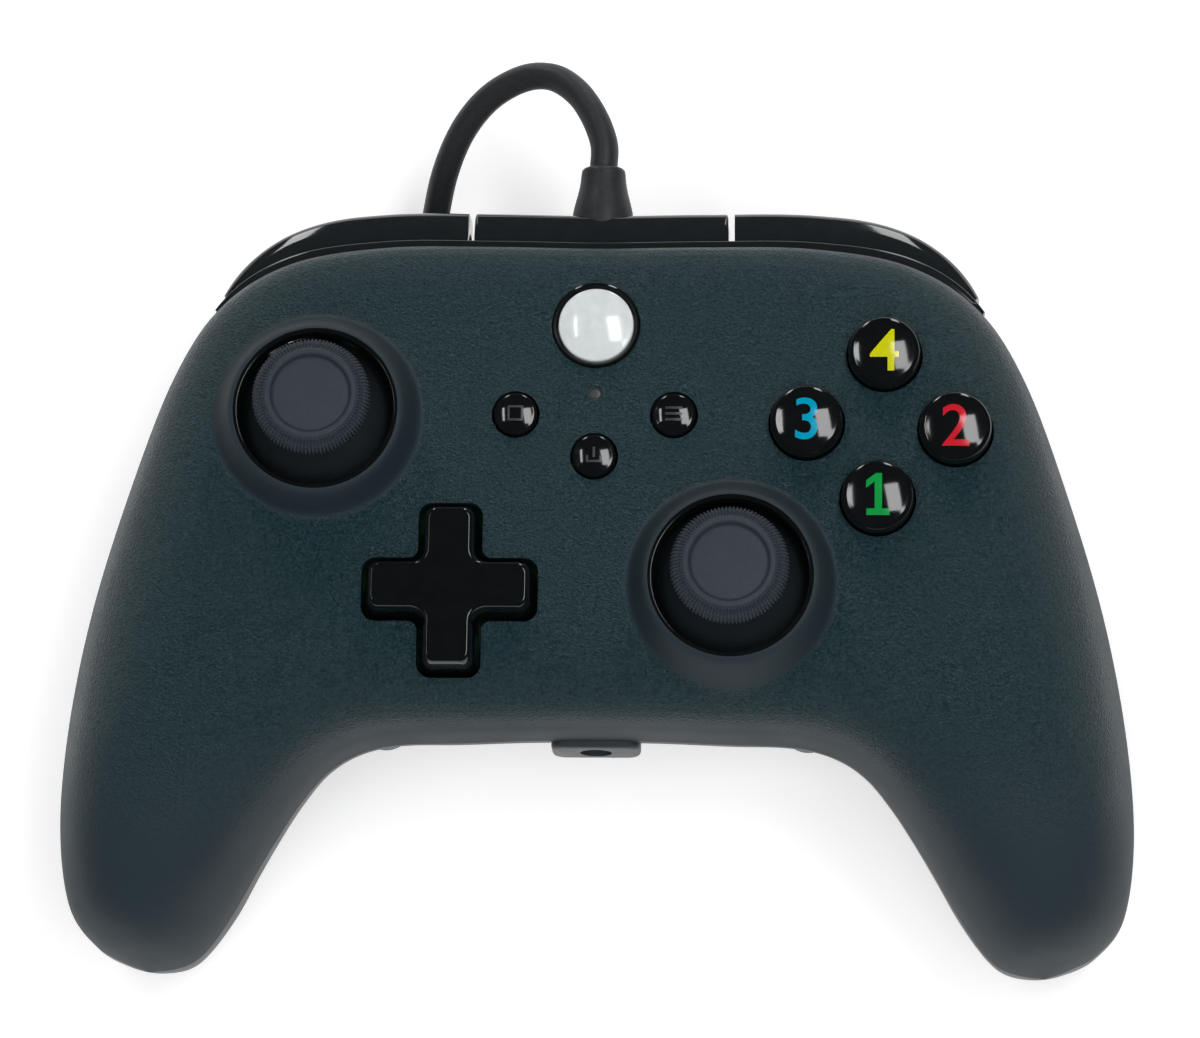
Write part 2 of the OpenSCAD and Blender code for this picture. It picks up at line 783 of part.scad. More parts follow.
module gimbal_ring() {
    difference() {
        union() {
            translate([-ring_half_x, -ring_half_y, -1.3]) cube([2 * ring_half_x, 2 * ring_half_y, 2.6]);
            rotate([0, 90, 0])
                translate([0, 0, -housing_half + 0.1]) cylinder(r = yoke_pin_r, h = 2 * housing_half - 0.2);
        }
        translate([-3.4, -2.2, -2]) cube([6.8, 4.4, 4]);
        rotate([90, 0, 0]) translate([0, 0, -5]) cylinder(r = 0.7 + run_gap, h = 10);
    }
}

module stick_post() {
    translate([0, 0, -1.2]) cylinder(r = post_rod_r, h = post_top + 1.2);
    rotate([90, 0, 0]) translate([0, 0, -ring_half_y]) cylinder(r = 0.7, h = 2 * ring_half_y);
}

module rocker_arch() {
    rotate([0, 90, 0])
        translate([0, 0, -2.6])
            linear_extrude(height = 5.2)
                polygon(concat(
                    arc_points(0, 0, arch_r, 90, 270, 16),
                    arc_points(0, 0, arch_r - 1, 270, 90, 16)
                ));
}

module rocker() {
    slot = post_rod_r + 0.3;
    difference() {
        union() {
            rocker_arch();
            for (q = [90, -90])
                rotate([q, 0, 0]) translate([0, 0, arch_r - 1])
                    cylinder(r = yoke_pin_r, h = housing_half - arch_r + 0.9);
            for (q = [0, 1])
                mirror([0, q, 0]) translate([-1.6, arch_r - 1, -1.2]) cube([3.2, 1, 1.4]);
        }
        translate([-slot, -4.4, 2]) cube([2 * slot, 8.8, 10]);
    }
}

module thumb_dome() {
    difference() {
        union() {
            rotate_extrude()
                polygon(concat(
                    arc_points(0, 0, dome_r, 20, 90, 14),
                    arc_points(0, 0, dome_r - dome_t, 90, 20, 14)
                ));
            translate([0, 0, dome_r - 0.6]) cylinder(r = neck_r, h = cap_base + 1.2 - dome_r + 0.6);
            translate([0, 0, 8.2]) cylinder(r = 3.2, h = 4.6);
        }
        cylinder(r = post_rod_r + run_gap, h = post_top + 0.7);
    }
}

module thumb_cap() {
    top = cap_base + cap_h;
    rotate_extrude()
        polygon([
            [0, cap_base + 1.3],
            [neck_r + run_gap, cap_base + 1.3],
            [neck_r + run_gap, cap_base],
            [cap_r - 3.4, cap_base],
            [cap_r - 0.3, top - 2.9],
            [cap_r, top - 2.5],
            [cap_r, top - 1.9],
            [cap_r - 0.25, top - 1.1],
            [cap_r - 0.8, top - 0.4],
            [cap_r - 1.7, top],
            [cap_r - 2.5, top],
            [cap_r - 2.7, top - 0.3],
            [0, top - 0.5]
        ]);
}

module stick_ring(p) {
    translate([p[0], p[1], rim_z - ring_h])
        difference() {
            cylinder(r = well_r + ring_t, h = ring_h - 0.2);
            translate([0, 0, -1]) cylinder(r = well_r, h = 10);
        }
}

module stick_ring_left() {
    color([0.02, 0.02, 0.02]) stick_ring(stick_left);
}

module stick_ring_right() {
    color([0.02, 0.02, 0.02]) stick_ring(stick_right);
}

module stick_housing_left() {
    color([0.6, 0.6, 0.62]) at(stick_left) stick_housing();
}

module stick_housing_right() {
    color([0.6, 0.6, 0.62]) at(stick_right) stick_housing();
}

module gimbal_left() {
    color([0.15, 0.15, 0.15]) at(stick_left) gimbal_ring();
}

module gimbal_right() {
    color([0.15, 0.15, 0.15]) at(stick_right) gimbal_ring();
}

module post_left() {
    color([0.8, 0.8, 0.78]) at(stick_left) stick_post();
}

module post_right() {
    color([0.8, 0.8, 0.78]) at(stick_right) stick_post();
}

module rocker_left() {
    color([0.3, 0.3, 0.3]) at(stick_left) rocker();
}

module rocker_right() {
    color([0.3, 0.3, 0.3]) at(stick_right) rocker();
}

module thumb_dome_left() {
    color([0.02, 0.02, 0.02]) at(stick_left) thumb_dome();
}

module thumb_dome_right() {
    color([0.02, 0.02, 0.02]) at(stick_right) thumb_dome();
}

module thumb_cap_left() {
    color([0.12, 0.11, 0.12]) at(stick_left) thumb_cap();
}

module thumb_cap_right() {
    color([0.12, 0.11, 0.12]) at(stick_right) thumb_cap();
}

// Buttons: a domed cap, a collar under the guide tube and a stem.
module domed_button(r, rise, dome, collar, stem_r, stem_z) {
    z0 = guide_z - flange_gap - flange_t;
    top = face_z + rise;
    rotate_extrude()
        polygon(concat(
            [[0, stem_z], [stem_r, stem_z], [stem_r, z0], [r + collar, z0], [r + collar, z0 + flange_t],
                [r, z0 + flange_t], [r, top - dome - 0.5], [r - 0.15, top - dome - 0.15]],
            [for (k = [0:4]) let (q = 1 - k / 4) [(r - 0.5) * q, top - dome * q * q]]
        ));
}

pad_z = board_top + 0.1;
pad_t = 1;
collar_h = 3.4;
stem_gap = 1.9;
stem_z = pad_z + pad_t + stem_gap;

module action_button(q) {
    at(action_places[q]) domed_button(action_r, action_rise, 0.6, guide_wall - 0.2, 2.6, stem_z);
}

module button_east() {
    color([0.03, 0.03, 0.03]) action_button(0);
}

module button_north() {
    color([0.03, 0.03, 0.03]) action_button(1);
}

module button_west() {
    color([0.03, 0.03, 0.03]) action_button(2);
}

module button_south() {
    color([0.03, 0.03, 0.03]) action_button(3);
}

module small_button(k) {
    at(small_places[k]) domed_button(small_r, 0.9, 0.4, guide_wall - 0.2, 1.6, stem_z);
}

module button_select() {
    color([0.03, 0.03, 0.03]) small_button(0);
}

module button_menu() {
    color([0.03, 0.03, 0.03]) small_button(1);
}

module button_share() {
    color([0.03, 0.03, 0.03]) small_button(2);
}

module button_home() {
    color([0.9, 0.9, 0.92])
        at(home_at) domed_button(home_r, 1.3, 0.9, 0.5, 2, stem_z);
}

module home_bezel() {
    color([0.02, 0.02, 0.02])
        at(home_at)
            translate([0, 0, guide_z])
                difference() {
                    cylinder(r = home_bezel_r, h = face_z - guide_z + 0.3);
                    translate([0, 0, -1]) cylinder(r = home_r + button_gap, h = 20);
                }
}

module status_lens() {
    color([0.9, 0.9, 0.85])
        at(lens_at)
            translate([0, 0, board_top + 0.1]) cylinder(r = lens_r, h = face_z - board_top - 0.1);
}

// Rubber mats with a collar round each stem.
module mat_collars(places, stem_r) {
    for (p = places)
        translate([p[0], p[1], pad_z])
            difference() {
                cylinder(r = stem_r + 1.5, h = pad_t + collar_h);
                translate([0, 0, pad_t]) cylinder(r = stem_r + 0.35, h = 20);
            }
}

module action_mat() {
    color([0.35, 0.35, 0.37])
        union() {
            translate([action_x, action_y, pad_z]) rotate([0, 0, action_turn])
                cross_plate(action_pcd_r + 4.6, 4.6, 1, pad_t);
            mat_collars(action_places, 2.6);
        }
}

module menu_mat() {
    color([0.35, 0.35, 0.37])
        union() {
            translate([-small_x - 3.4, small_y - 2.8, pad_z]) cube([8, 5.6, pad_t]);
            translate([small_x - 4.6, small_y - 2.8, pad_z]) cube([8, 5.6, pad_t]);
            translate([-small_x, share_y - 2.6, pad_z]) cube([2 * small_x, 7, pad_t]);
            mat_collars(small_places, 1.6);
        }
}

home_pad_top = stem_z - 1.2;

module home_switch() {
    color([0.2, 0.2, 0.2])
        translate([0, home_y, board_top])
            union() {
                translate([-3, -3.4, 0]) cube([6, 4, 1.4]);
                cylinder(r = 1.2, h = home_pad_top - board_top);
            }
}

// Direction pad: cap on a cross pin on an upright.
dpad_pivot_z = face_z - 8;
dpad_pin_r = 0.9;
dpad_top = face_z + dpad_rise;

module dpad_cap() {
    color([0.02, 0.02, 0.02])
        at(dpad_at)
            difference() {
                union() {
                    translate([0, 0, guide_z - 3.2])
                        cross_plate(dpad_half, dpad_arm, 1.2, dpad_top - guide_z + 1.7);
                    translate([0, 0, dpad_top - 1.6])
                        cross_plate(dpad_half - 0.4, dpad_arm - 0.4, 1.2, 1.1);
                    translate([0, 0, dpad_top - 0.6]) cross_plate(dpad_half - 0.8, dpad_arm - 0.7, 1, 0.6);
                    for (q = [0, 1])
                        mirror([0, q, 0]) translate([-2, 3.6, dpad_pivot_z - 1.9]) cube([4, 1.7, 3.6]);
                }
                translate([0, 20, dpad_pivot_z])
                    rotate([90, 0, 0]) cylinder(r = dpad_pin_r + run_gap, h = 40);
                translate([-5.6, -3.3, dpad_pivot_z - 3]) cube([11.2, 6.6, 5.2]);
            }
}

module dpad_spider() {
    color([0.6, 0.6, 0.6])
        translate([dpad_at[0], dpad_at[1], dpad_pivot_z])
            union() {
                translate([-2, -2.2, -1.2]) cube([4, 4.4, 2.4]);
                rotate([0, 90, 0]) translate([0, 0, -4.7]) cylinder(r = dpad_pin_r, h = 9.4);
                rotate([90, 0, 0]) translate([0, 0, -5.2]) cylinder(r = dpad_pin_r, h = 10.4);
            }
}

module dpad_upright() {
    color([0.2, 0.2, 0.2])
        translate([dpad_at[0], dpad_at[1], 0])
            difference() {
                union() {
                    translate([-5, -3, pad_z]) cube([10, 6, 1.2]);
                    for (q = [0, 1])
                        mirror([q, 0, 0]) translate([3.2, -1.6, pad_z])
                            cube([1.6, 3.2, dpad_pivot_z + 1.4 - pad_z]);
                }
                translate([-20, 0, dpad_pivot_z])
                    rotate([0, 90, 0]) cylinder(r = dpad_pin_r + run_gap, h = 40);
            }
}

// Board with two wings, sunk clear of the screw posts.
board_edge = 34;
board_side = [[24, -14], [36, -8], [49, 8], [56, 12], [55, 27], [46, board_edge]];

module main_board() {
    color([0.05, 0.25, 0.12])
        translate([0, 0, board_z])
            linear_extrude(height = board_t)
                polygon([for (p = concat(
                    board_side,
                    [for (k = [len(board_side) - 1:-1:0]) [-board_side[k][0], board_side[k][1]]]
                )) [p[0] * breadth, p[1]]]);
}

module board_chip() {
    color([0.04, 0.04, 0.04])
        translate([-7, -2, board_z - 1.4]) cube([12, 12, 1.3]);
}

// Rumble motors lie along the grips.
motor_z = 20;
motor_y0 = -25;
motor_l = 14;
weight_r = 7.6;

module motor(side) {
    translate([side * motor_x, motor_y0, motor_z])
        rotate([-90, 0, 0])
            difference() {
                cylinder(r = motor_r, h = motor_l);
                translate([0, 0, -1]) cylinder(r = 1.2, h = 8);
            }
}

module motor_left() {
    color([0.75, 0.75, 0.77]) motor(-1);
}

module motor_right() {
    color([0.75, 0.75, 0.77]) motor(1);
}

module weight(side, sweep, t) {
    translate([side * motor_x, motor_y0 - 1 - t, motor_z])
        rotate([-90, 0, 0])
            union() {
                cylinder(r = 2.2, h = t);
                cylinder(r = 1, h = t + 6);
                rotate([0, 0, 90 - sweep / 2])
                    rotate_extrude(angle = sweep) square([weight_r, t]);
            }
}

module weight_left() {
    color([0.55, 0.5, 0.4]) weight(-1, 180, 8);
}

module weight_right() {
    color([0.55, 0.5, 0.4]) weight(1, 150, 5);
}

module audio_jack() {
    color([0.16, 0.17, 0.18])
        difference() {
            union() {
                jack_outline(0);
                jack_block(0);
            }
            translate([0, jack_face - 1, jack_z])
                rotate([-90, 0, 0]) cylinder(r = jack_r, h = jack_depth + 1);
            translate([0, jack_face - 1, jack_z]) rotate([-90, 0, 0]) cylinder(r = jack_r + 0.45, h = 1.6);
        }
}

module screws() {
    color([0.3, 0.3, 0.31])
        both_sides()
            for (p = screw_places)
                translate([p[0], p[1], screw_seat(p)]) {
                    difference() {
                        translate([0, 0, -screw_head_h]) cylinder(r = screw_head_r, h = screw_head_h);
                        for (q = [0, 90])
                            rotate([0, 0, q]) translate([-1.6, -0.3, -screw_head_h - 1])
                                cube([3.2, 0.6, 1.9]);
                    }
                    cylinder(r = screw_r, h = screw_top(p) - screw_seat(p));
                }
}

function screw_top(p) = p[3];
function screw_seat(p) = p[2] + screw_head_h + 1.2;

header_y = 36.3;

module board_header() {
    color([0.85, 0.82, 0.72])
        translate([-4.5, board_edge + 0.1, lead_z - 2.4]) cube([9, header_y - board_edge - 0.1, 3.8]);
}

module inner_lead() {
    color([0.04, 0.04, 0.04])
        translate([0, header_y, lead_z]) rotate([-90, 0, 0]) cylinder(r = cord_r, h = relief_y0 - header_y);
}

relief_y0 = edge_y - wall - 6.1;
relief_flange_r = 4.3;
relief_end = edge_y + 15.2;

module strain_relief() {
    y = relief_y0;
    color([0.04, 0.04, 0.04])
        translate([0, 0, lead_z])
            rotate([-90, 0, 0])
                rotate_extrude()
                    polygon([
                        [0, y], [relief_flange_r, y], [relief_flange_r, y + 1.6],
                        [relief_neck_r, y + 1.6], [relief_neck_r, edge_y + 0.5],
                        [relief_r, edge_y + 0.5], [relief_r, edge_y + 8.4],
                        [relief_r - 0.2, edge_y + 9.6], [3.35, relief_end - 1.3],
                        [2.9, relief_end - 0.3], [2.4, relief_end], [0, relief_end]
                    ]);
}

// Lead: a swept tube along chosen points, then a flat coil of two layers, then the tail to the plug.
coil_z = 2.7;
coil_c = [0, coil_y, coil_z];
coil_start = 155;
coil_steps = 24;
coil_sides = 6;
coil_rise = coil_pitch;
coil_straight = 2 * cord_r;
coil_count = round(2 * coil_turns * coil_steps);

function smooth(f) = let (q = max(0, min(1, f))) q * q * (3 - 2 * q);
function coil_point(k) =
    let (
        turn = k / coil_steps,
        back = abs(turn - coil_turns),
        r = coil_r - coil_pitch * (coil_turns - back),
        a = coil_start + 360 * turn
    )
    coil_c + [r * cos(a), r * sin(a), coil_rise * smooth((turn - coil_turns) / 0.5 + 0.5)];
function unit(v) = v / norm(v);
coil_inner = [for (k = [0:coil_count]) coil_point(k)];
coil_in = coil_inner[0] - coil_straight * unit(coil_point(0.1) - coil_point(0));
coil_out = coil_inner[coil_count]
    + coil_straight * unit(coil_point(coil_count) - coil_point(coil_count - 0.1));
coil_path = concat([coil_in], coil_inner, [coil_out]);

// Least gap of the coil to itself, measured between points at least half a turn apart.
coil_gap = min([for (i = [0:coil_count]) for (j = [i + coil_steps / 2:coil_count])
    norm(coil_inner[i] - coil_inner[j])]) - 2 * cord_r;

run_route = [
    [0, relief_end, lead_z], [0, 64.5, 31], [-1.6, 69, 30.2], [-4.2, 73, 29], [-7.8, 75.7, 27.4],
    [-12.2, 76.1, 25.4], [-17.2, 74, 22.8], [-21.2, 70, 19.6], [-24, 64.5, 15.8], [-25.7, 58, 11.6],
    [-27, 52, 8], [-29, 46, 5.2], coil_in
];
plug_z = 14.6;
plug_y = 37;
plug_x = 13;
tail_route = [
    coil_out, [35.8, 15, 8.8], [34.6, 23, 11.4], [29.6, 31, 13.6], [21.6, 36, 14.5],
    [plug_x, plug_y, plug_z]
];

// Points along a route, with its first and last directions held.
function route_point(route, t, d0, d1) =
    let (i = min(floor(t), len(route) - 2), n = len(route) - 1)
    blend4(
        i == 0 ? route[1] - 2 * norm(route[1] - route[0]) * d0 : route[i - 1],
        route[i],
        route[i + 1],
        i == n - 1 ? route[n - 1] + 2 * norm(route[n] - route[n - 1]) * d1 : route[i + 2],
        t - i
    );
function route_points(route, per, d0, d1) =
    [for (k = [0:per * (len(route) - 1)]) route_point(route, k / per, d0, d1)];
function path_length(path) = path_sum(path, len(path) - 1);
function path_sum(path, k) = k == 0 ? 0 : norm(path[k] - path[k - 1]) + path_sum(path, k - 1);

coil_dir_in = unit(coil_inner[0] - coil_in);
coil_dir_out = unit(coil_out - coil_inner[coil_count]);
run_path = route_points(run_route, 3, [0, 1, 0], coil_dir_in);
tail_path = route_points(tail_route, 4, coil_dir_out, [-1, 0, 0]);

// Tube rings square to a path; the first and last ring square to the given directions.
function path_dir(path, k, d0, d1) =
    k == 0 ? d0 : (k == len(path) - 1 ? d1 : unit(path[k + 1] - path[k - 1]));
function tube_ring(p, d, sides) =
    let (
        side = unit(cross(abs(d[2]) > 0.9 ? [1, 0, 0] : [0, 0, 1], d)),
        up = cross(d, side)
    )
    [for (j = [0:sides - 1]) let (a = -360 * (j + 0.5) / sides) p + cord_r * (cos(a) * side + sin(a) * up)];
function tube_rings(path, d0, d1, sides) =
    [for (k = [0:len(path) - 1]) tube_ring(path[k], path_dir(path, k, d0, d1), sides)];

module cord_run() {
    color([0.03, 0.03, 0.03]) ended_skin(tube_rings(run_path, [0, 1, 0], coil_dir_in, 10));
}

module cord_coil() {
    color([0.03, 0.03, 0.03]) ended_skin(tube_rings(coil_path, coil_dir_in, coil_dir_out, coil_sides));
}

module cord_tail() {
    color([0.03, 0.03, 0.03]) ended_skin(tube_rings(tail_path, coil_dir_out, [-1, 0, 0], 10));
}

strap_t = 0.6;
strap_w = 9;
strap_in = 5.6;
strap_out = coil_r + cord_r + 0.3;
strap_top = coil_z + coil_rise + cord_r + 0.2;

module cord_ties() {
    color([0.08, 0.08, 0.08])
        for (a = [205, 310])
            translate([0, coil_y, 0])
                rotate([0, 0, a])
                    difference() {
                        translate([strap_in, -strap_w / 2, 0])
                            cube([strap_out + strap_t - strap_in, strap_w, strap_top + strap_t]);
                        translate([strap_in + strap_t, -strap_w, strap_t])
                            cube([strap_out - strap_in - strap_t, 2 * strap_w, strap_top - strap_t]);
                    }
}

plug_l = 22;
plug_w = 15.4;
plug_h = 7.6;
plug_tip_l = 14;

module plug_body() {
    color([0.04, 0.04, 0.04])
        translate([plug_x, plug_y, plug_z])
            rotate([0, -90, 0])
                rotate([0, 0, 90])
                    union() {
                        rounded_plate(plug_w - 5, plug_h - 1.6, 1.4, 4);
                        translate([0, 0, 4]) rounded_plate(plug_w, plug_h, 1.8, plug_l - 4);
                    }
}

module plug_shell() {
    color([0.8, 0.8, 0.82])
        translate([plug_x - plug_l, plug_y, plug_z])
            difference() {
                translate([-plug_tip_l, -6, -2.25]) cube([plug_tip_l, 12, 4.5]);
                translate([-plug_tip_l - 1, -5.7, 0.2]) cube([plug_tip_l - 1, 11.4, 1.75]);
                for (y = [-3.4, 1.2])
                    translate([-plug_tip_l + 5, y, -3]) cube([2.2, 2.2, 1]);
            }
}

echo(coil_gap = coil_gap);
echo(cord_length = path_length(run_path) + path_length(coil_path) + path_length(tail_path));

// Piece to draw

front_shell();
back_shell();
top_trim();
top_bridge();
bumper_left();
bumper_right();
trigger_left();
trigger_right();
trigger_frame_left();
trigger_frame_right();
trigger_pins();
trigger_springs();
bumper_switches();
stick_ring_left();
stick_ring_right();
stick_housing_left();
stick_housing_right();
gimbal_left();
gimbal_right();
post_left();
post_right();
rocker_left();
rocker_right();
thumb_dome_left();
thumb_dome_right();
thumb_cap_left();
thumb_cap_right();
button_north();
button_east();
button_south();
button_west();
button_select();
button_menu();
button_share();
button_home();
home_bezel();
status_lens();
action_mat();
menu_mat();
home_switch();
dpad_cap();
dpad_spider();
dpad_upright();
main_board();
board_chip();
motor_left();
motor_right();
weight_left();
weight_right();
audio_jack();
screws();
board_header();
inner_lead();
strain_relief();
cord_run();
cord_coil();
cord_tail();
cord_ties();
plug_body();
plug_shell();
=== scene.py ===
"""Wired gamepad lying face up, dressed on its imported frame, with its lead coiled under it."""

import json
import logging
import math
from dataclasses import dataclass
from enum import Enum
from functools import lru_cache

import bmesh
import bpy
from mathutils import Matrix, Vector


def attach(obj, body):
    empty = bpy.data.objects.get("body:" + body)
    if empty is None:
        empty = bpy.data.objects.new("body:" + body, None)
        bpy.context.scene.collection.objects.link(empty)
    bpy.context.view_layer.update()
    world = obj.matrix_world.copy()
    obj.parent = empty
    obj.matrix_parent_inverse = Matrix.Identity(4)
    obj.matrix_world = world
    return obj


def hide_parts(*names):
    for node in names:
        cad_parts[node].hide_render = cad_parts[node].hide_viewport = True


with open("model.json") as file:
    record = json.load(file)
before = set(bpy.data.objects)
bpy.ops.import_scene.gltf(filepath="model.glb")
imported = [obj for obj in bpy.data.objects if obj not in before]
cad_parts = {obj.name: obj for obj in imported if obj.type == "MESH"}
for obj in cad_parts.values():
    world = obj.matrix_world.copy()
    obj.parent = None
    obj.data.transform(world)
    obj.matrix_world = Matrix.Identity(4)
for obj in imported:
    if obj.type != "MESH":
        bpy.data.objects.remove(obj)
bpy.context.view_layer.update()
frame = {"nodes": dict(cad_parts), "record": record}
log = logging.getLogger("gamepad")

MM = 0.001
Colour = tuple[float, float, float]
Line = list[tuple[float, float]]
Point = tuple[float, float, float]


class Cut(Enum):
    """What a boolean does with its tool."""

    REMOVE = "DIFFERENCE"
    JOIN = "UNION"


class Side(Enum):
    """Hand of a mirrored piece, with the sign of its X."""

    LEFT = -1
    RIGHT = 1

    @property
    def word(self) -> str:
        """The side's name as the nodes spell it."""
        return self.name.lower()

    def span(self, near: float, far: float) -> list[float]:
        """Two distances from the middle on this side, in rising order."""
        return sorted((self.value * near, self.value * far))


class Slot(Enum):
    """Material slots of the record."""

    FACE = "face_plastic"
    BACK = "back_plastic"
    GLOSS = "gloss_black"
    TRIGGER = "trigger_plastic"
    CAP = "cap_rubber"
    PEARL = "pearl"
    LENS = "lens"
    FRAME = "frame_plastic"
    STEEL = "steel"
    WEIGHT = "weight_metal"
    POST = "post_plastic"
    MAT = "mat_rubber"
    BOARD = "board"
    JACK = "jack_plastic"
    CORD = "cord_rubber"
    STRAP = "strap"


# Node groups shared by the finishes

FLECK_SCALE = 0.62
CELL_SHARE = 0.55
CLOUDS_PER_M = 95.0


def new_group(name: str, inputs: list[str], outputs: list[str]) -> bpy.types.NodeTree:
    """Makes an empty shader group with float sockets.

    Args:
        name: Name of the group.
        inputs: Names of its inputs.
        outputs: Names of its outputs.

    Returns:
        The group with its input and output nodes in place.
    """
    tree = bpy.data.node_groups.new(name, "ShaderNodeTree")
    for label in inputs:
        tree.interface.new_socket(label, in_out="INPUT", socket_type="NodeSocketFloat")
    for label in outputs:
        tree.interface.new_socket(label, in_out="OUTPUT", socket_type="NodeSocketFloat")
    tree.nodes.new("NodeGroupInput").name = "in"
    tree.nodes.new("NodeGroupOutput").name = "out"
    return tree


def preset(node: bpy.types.Node, **values: float | tuple[float, ...]) -> None:
    """Sets a node's sockets, each by its name with _ for a space."""
    for label, value in values.items():
        node.inputs[label.replace("_", " ")].default_value = value


def object_noise(tree: bpy.types.NodeTree, detail: float, distortion: float) -> bpy.types.Node:
    """Adds a noise on Object coordinates.

    Args:
        tree: Tree that takes the nodes.
        detail: Octaves of the noise.
        distortion: How far the noise bends itself.

    Returns:
        The noise node.
    """
    coords = tree.nodes.new("ShaderNodeTexCoord")
    noise = tree.nodes.new("ShaderNodeTexNoise")
    preset(noise, Detail=detail, Distortion=distortion)
    tree.links.new(coords.outputs["Object"], noise.inputs["Vector"])
    return noise


def reckon(tree: bpy.types.NodeTree, operation: str,
           *values: float | bpy.types.NodeSocket) -> bpy.types.NodeSocket:
    """Adds a sum to a tree.

    Args:
        tree: Tree that takes the node.
        operation: The sum's name.
        values: Numbers and sockets that go in, in order.

    Returns:
        The socket with the result.
    """
    node = tree.nodes.new("ShaderNodeMath")
    node.operation = operation
    for place, value in zip(node.inputs, values):
        if isinstance(value, bpy.types.NodeSocket):
            tree.links.new(value, place)
        else:
            place.default_value = value
    return node.outputs[0]


@lru_cache(maxsize=None)
def grain_group() -> bpy.types.NodeTree:
    """The moulded grain: worm-like pebbles as a height, and a fleck that drifts beside it.

    Returns:
        The group.
    """
    tree = new_group("moulded_grain", ["Scale"], ["Height", "Fleck"])
    source, sink = tree.nodes["in"], tree.nodes["out"]
    pebble = object_noise(tree, 1.5, 0.9)
    cells = tree.nodes.new("ShaderNodeTexVoronoi")
    cells.feature = "SMOOTH_F1"
    preset(cells, Smoothness=0.6)
    fleck = object_noise(tree, 2.0, 0.3)
    coords = tree.nodes.new("ShaderNodeTexCoord")
    scale = source.outputs["Scale"]
    links = tree.links
    links.new(coords.outputs["Object"], cells.inputs["Vector"])
    links.new(scale, pebble.inputs["Scale"])
    links.new(scale, cells.inputs["Scale"])
    links.new(reckon(tree, "MULTIPLY", scale, FLECK_SCALE), fleck.inputs["Scale"])
    height = reckon(tree, "MULTIPLY_ADD", cells.outputs["Distance"], CELL_SHARE, pebble.outputs["Fac"])
    links.new(height, sink.inputs["Height"])
    links.new(fleck.outputs["Fac"], sink.inputs["Fleck"])
    return tree


@lru_cache(maxsize=None)
def handling_group() -> bpy.types.NodeTree:
    """Broad drift of the gloss from moulding and handling, from low to high.

    Returns:
        The group.
    """
    tree = new_group("handling_drift", ["Low", "High"], ["Roughness"])
    source, sink = tree.nodes["in"], tree.nodes["out"]
    cloud = object_noise(tree, 4.0, 0.4)
    preset(cloud, Scale=CLOUDS_PER_M)
    spread = tree.nodes.new("ShaderNodeMapRange")
    preset(spread, From_Min=0.3, From_Max=0.7)
    tree.links.new(cloud.outputs["Fac"], spread.inputs["Value"])
    tree.links.new(source.outputs["Low"], spread.inputs["To Min"])
    tree.links.new(source.outputs["High"], spread.inputs["To Max"])
    tree.links.new(spread.outputs["Result"], sink.inputs["Roughness"])
    return tree


GRAIN_MASK = "grain"
MATT_GAIN = 0.34


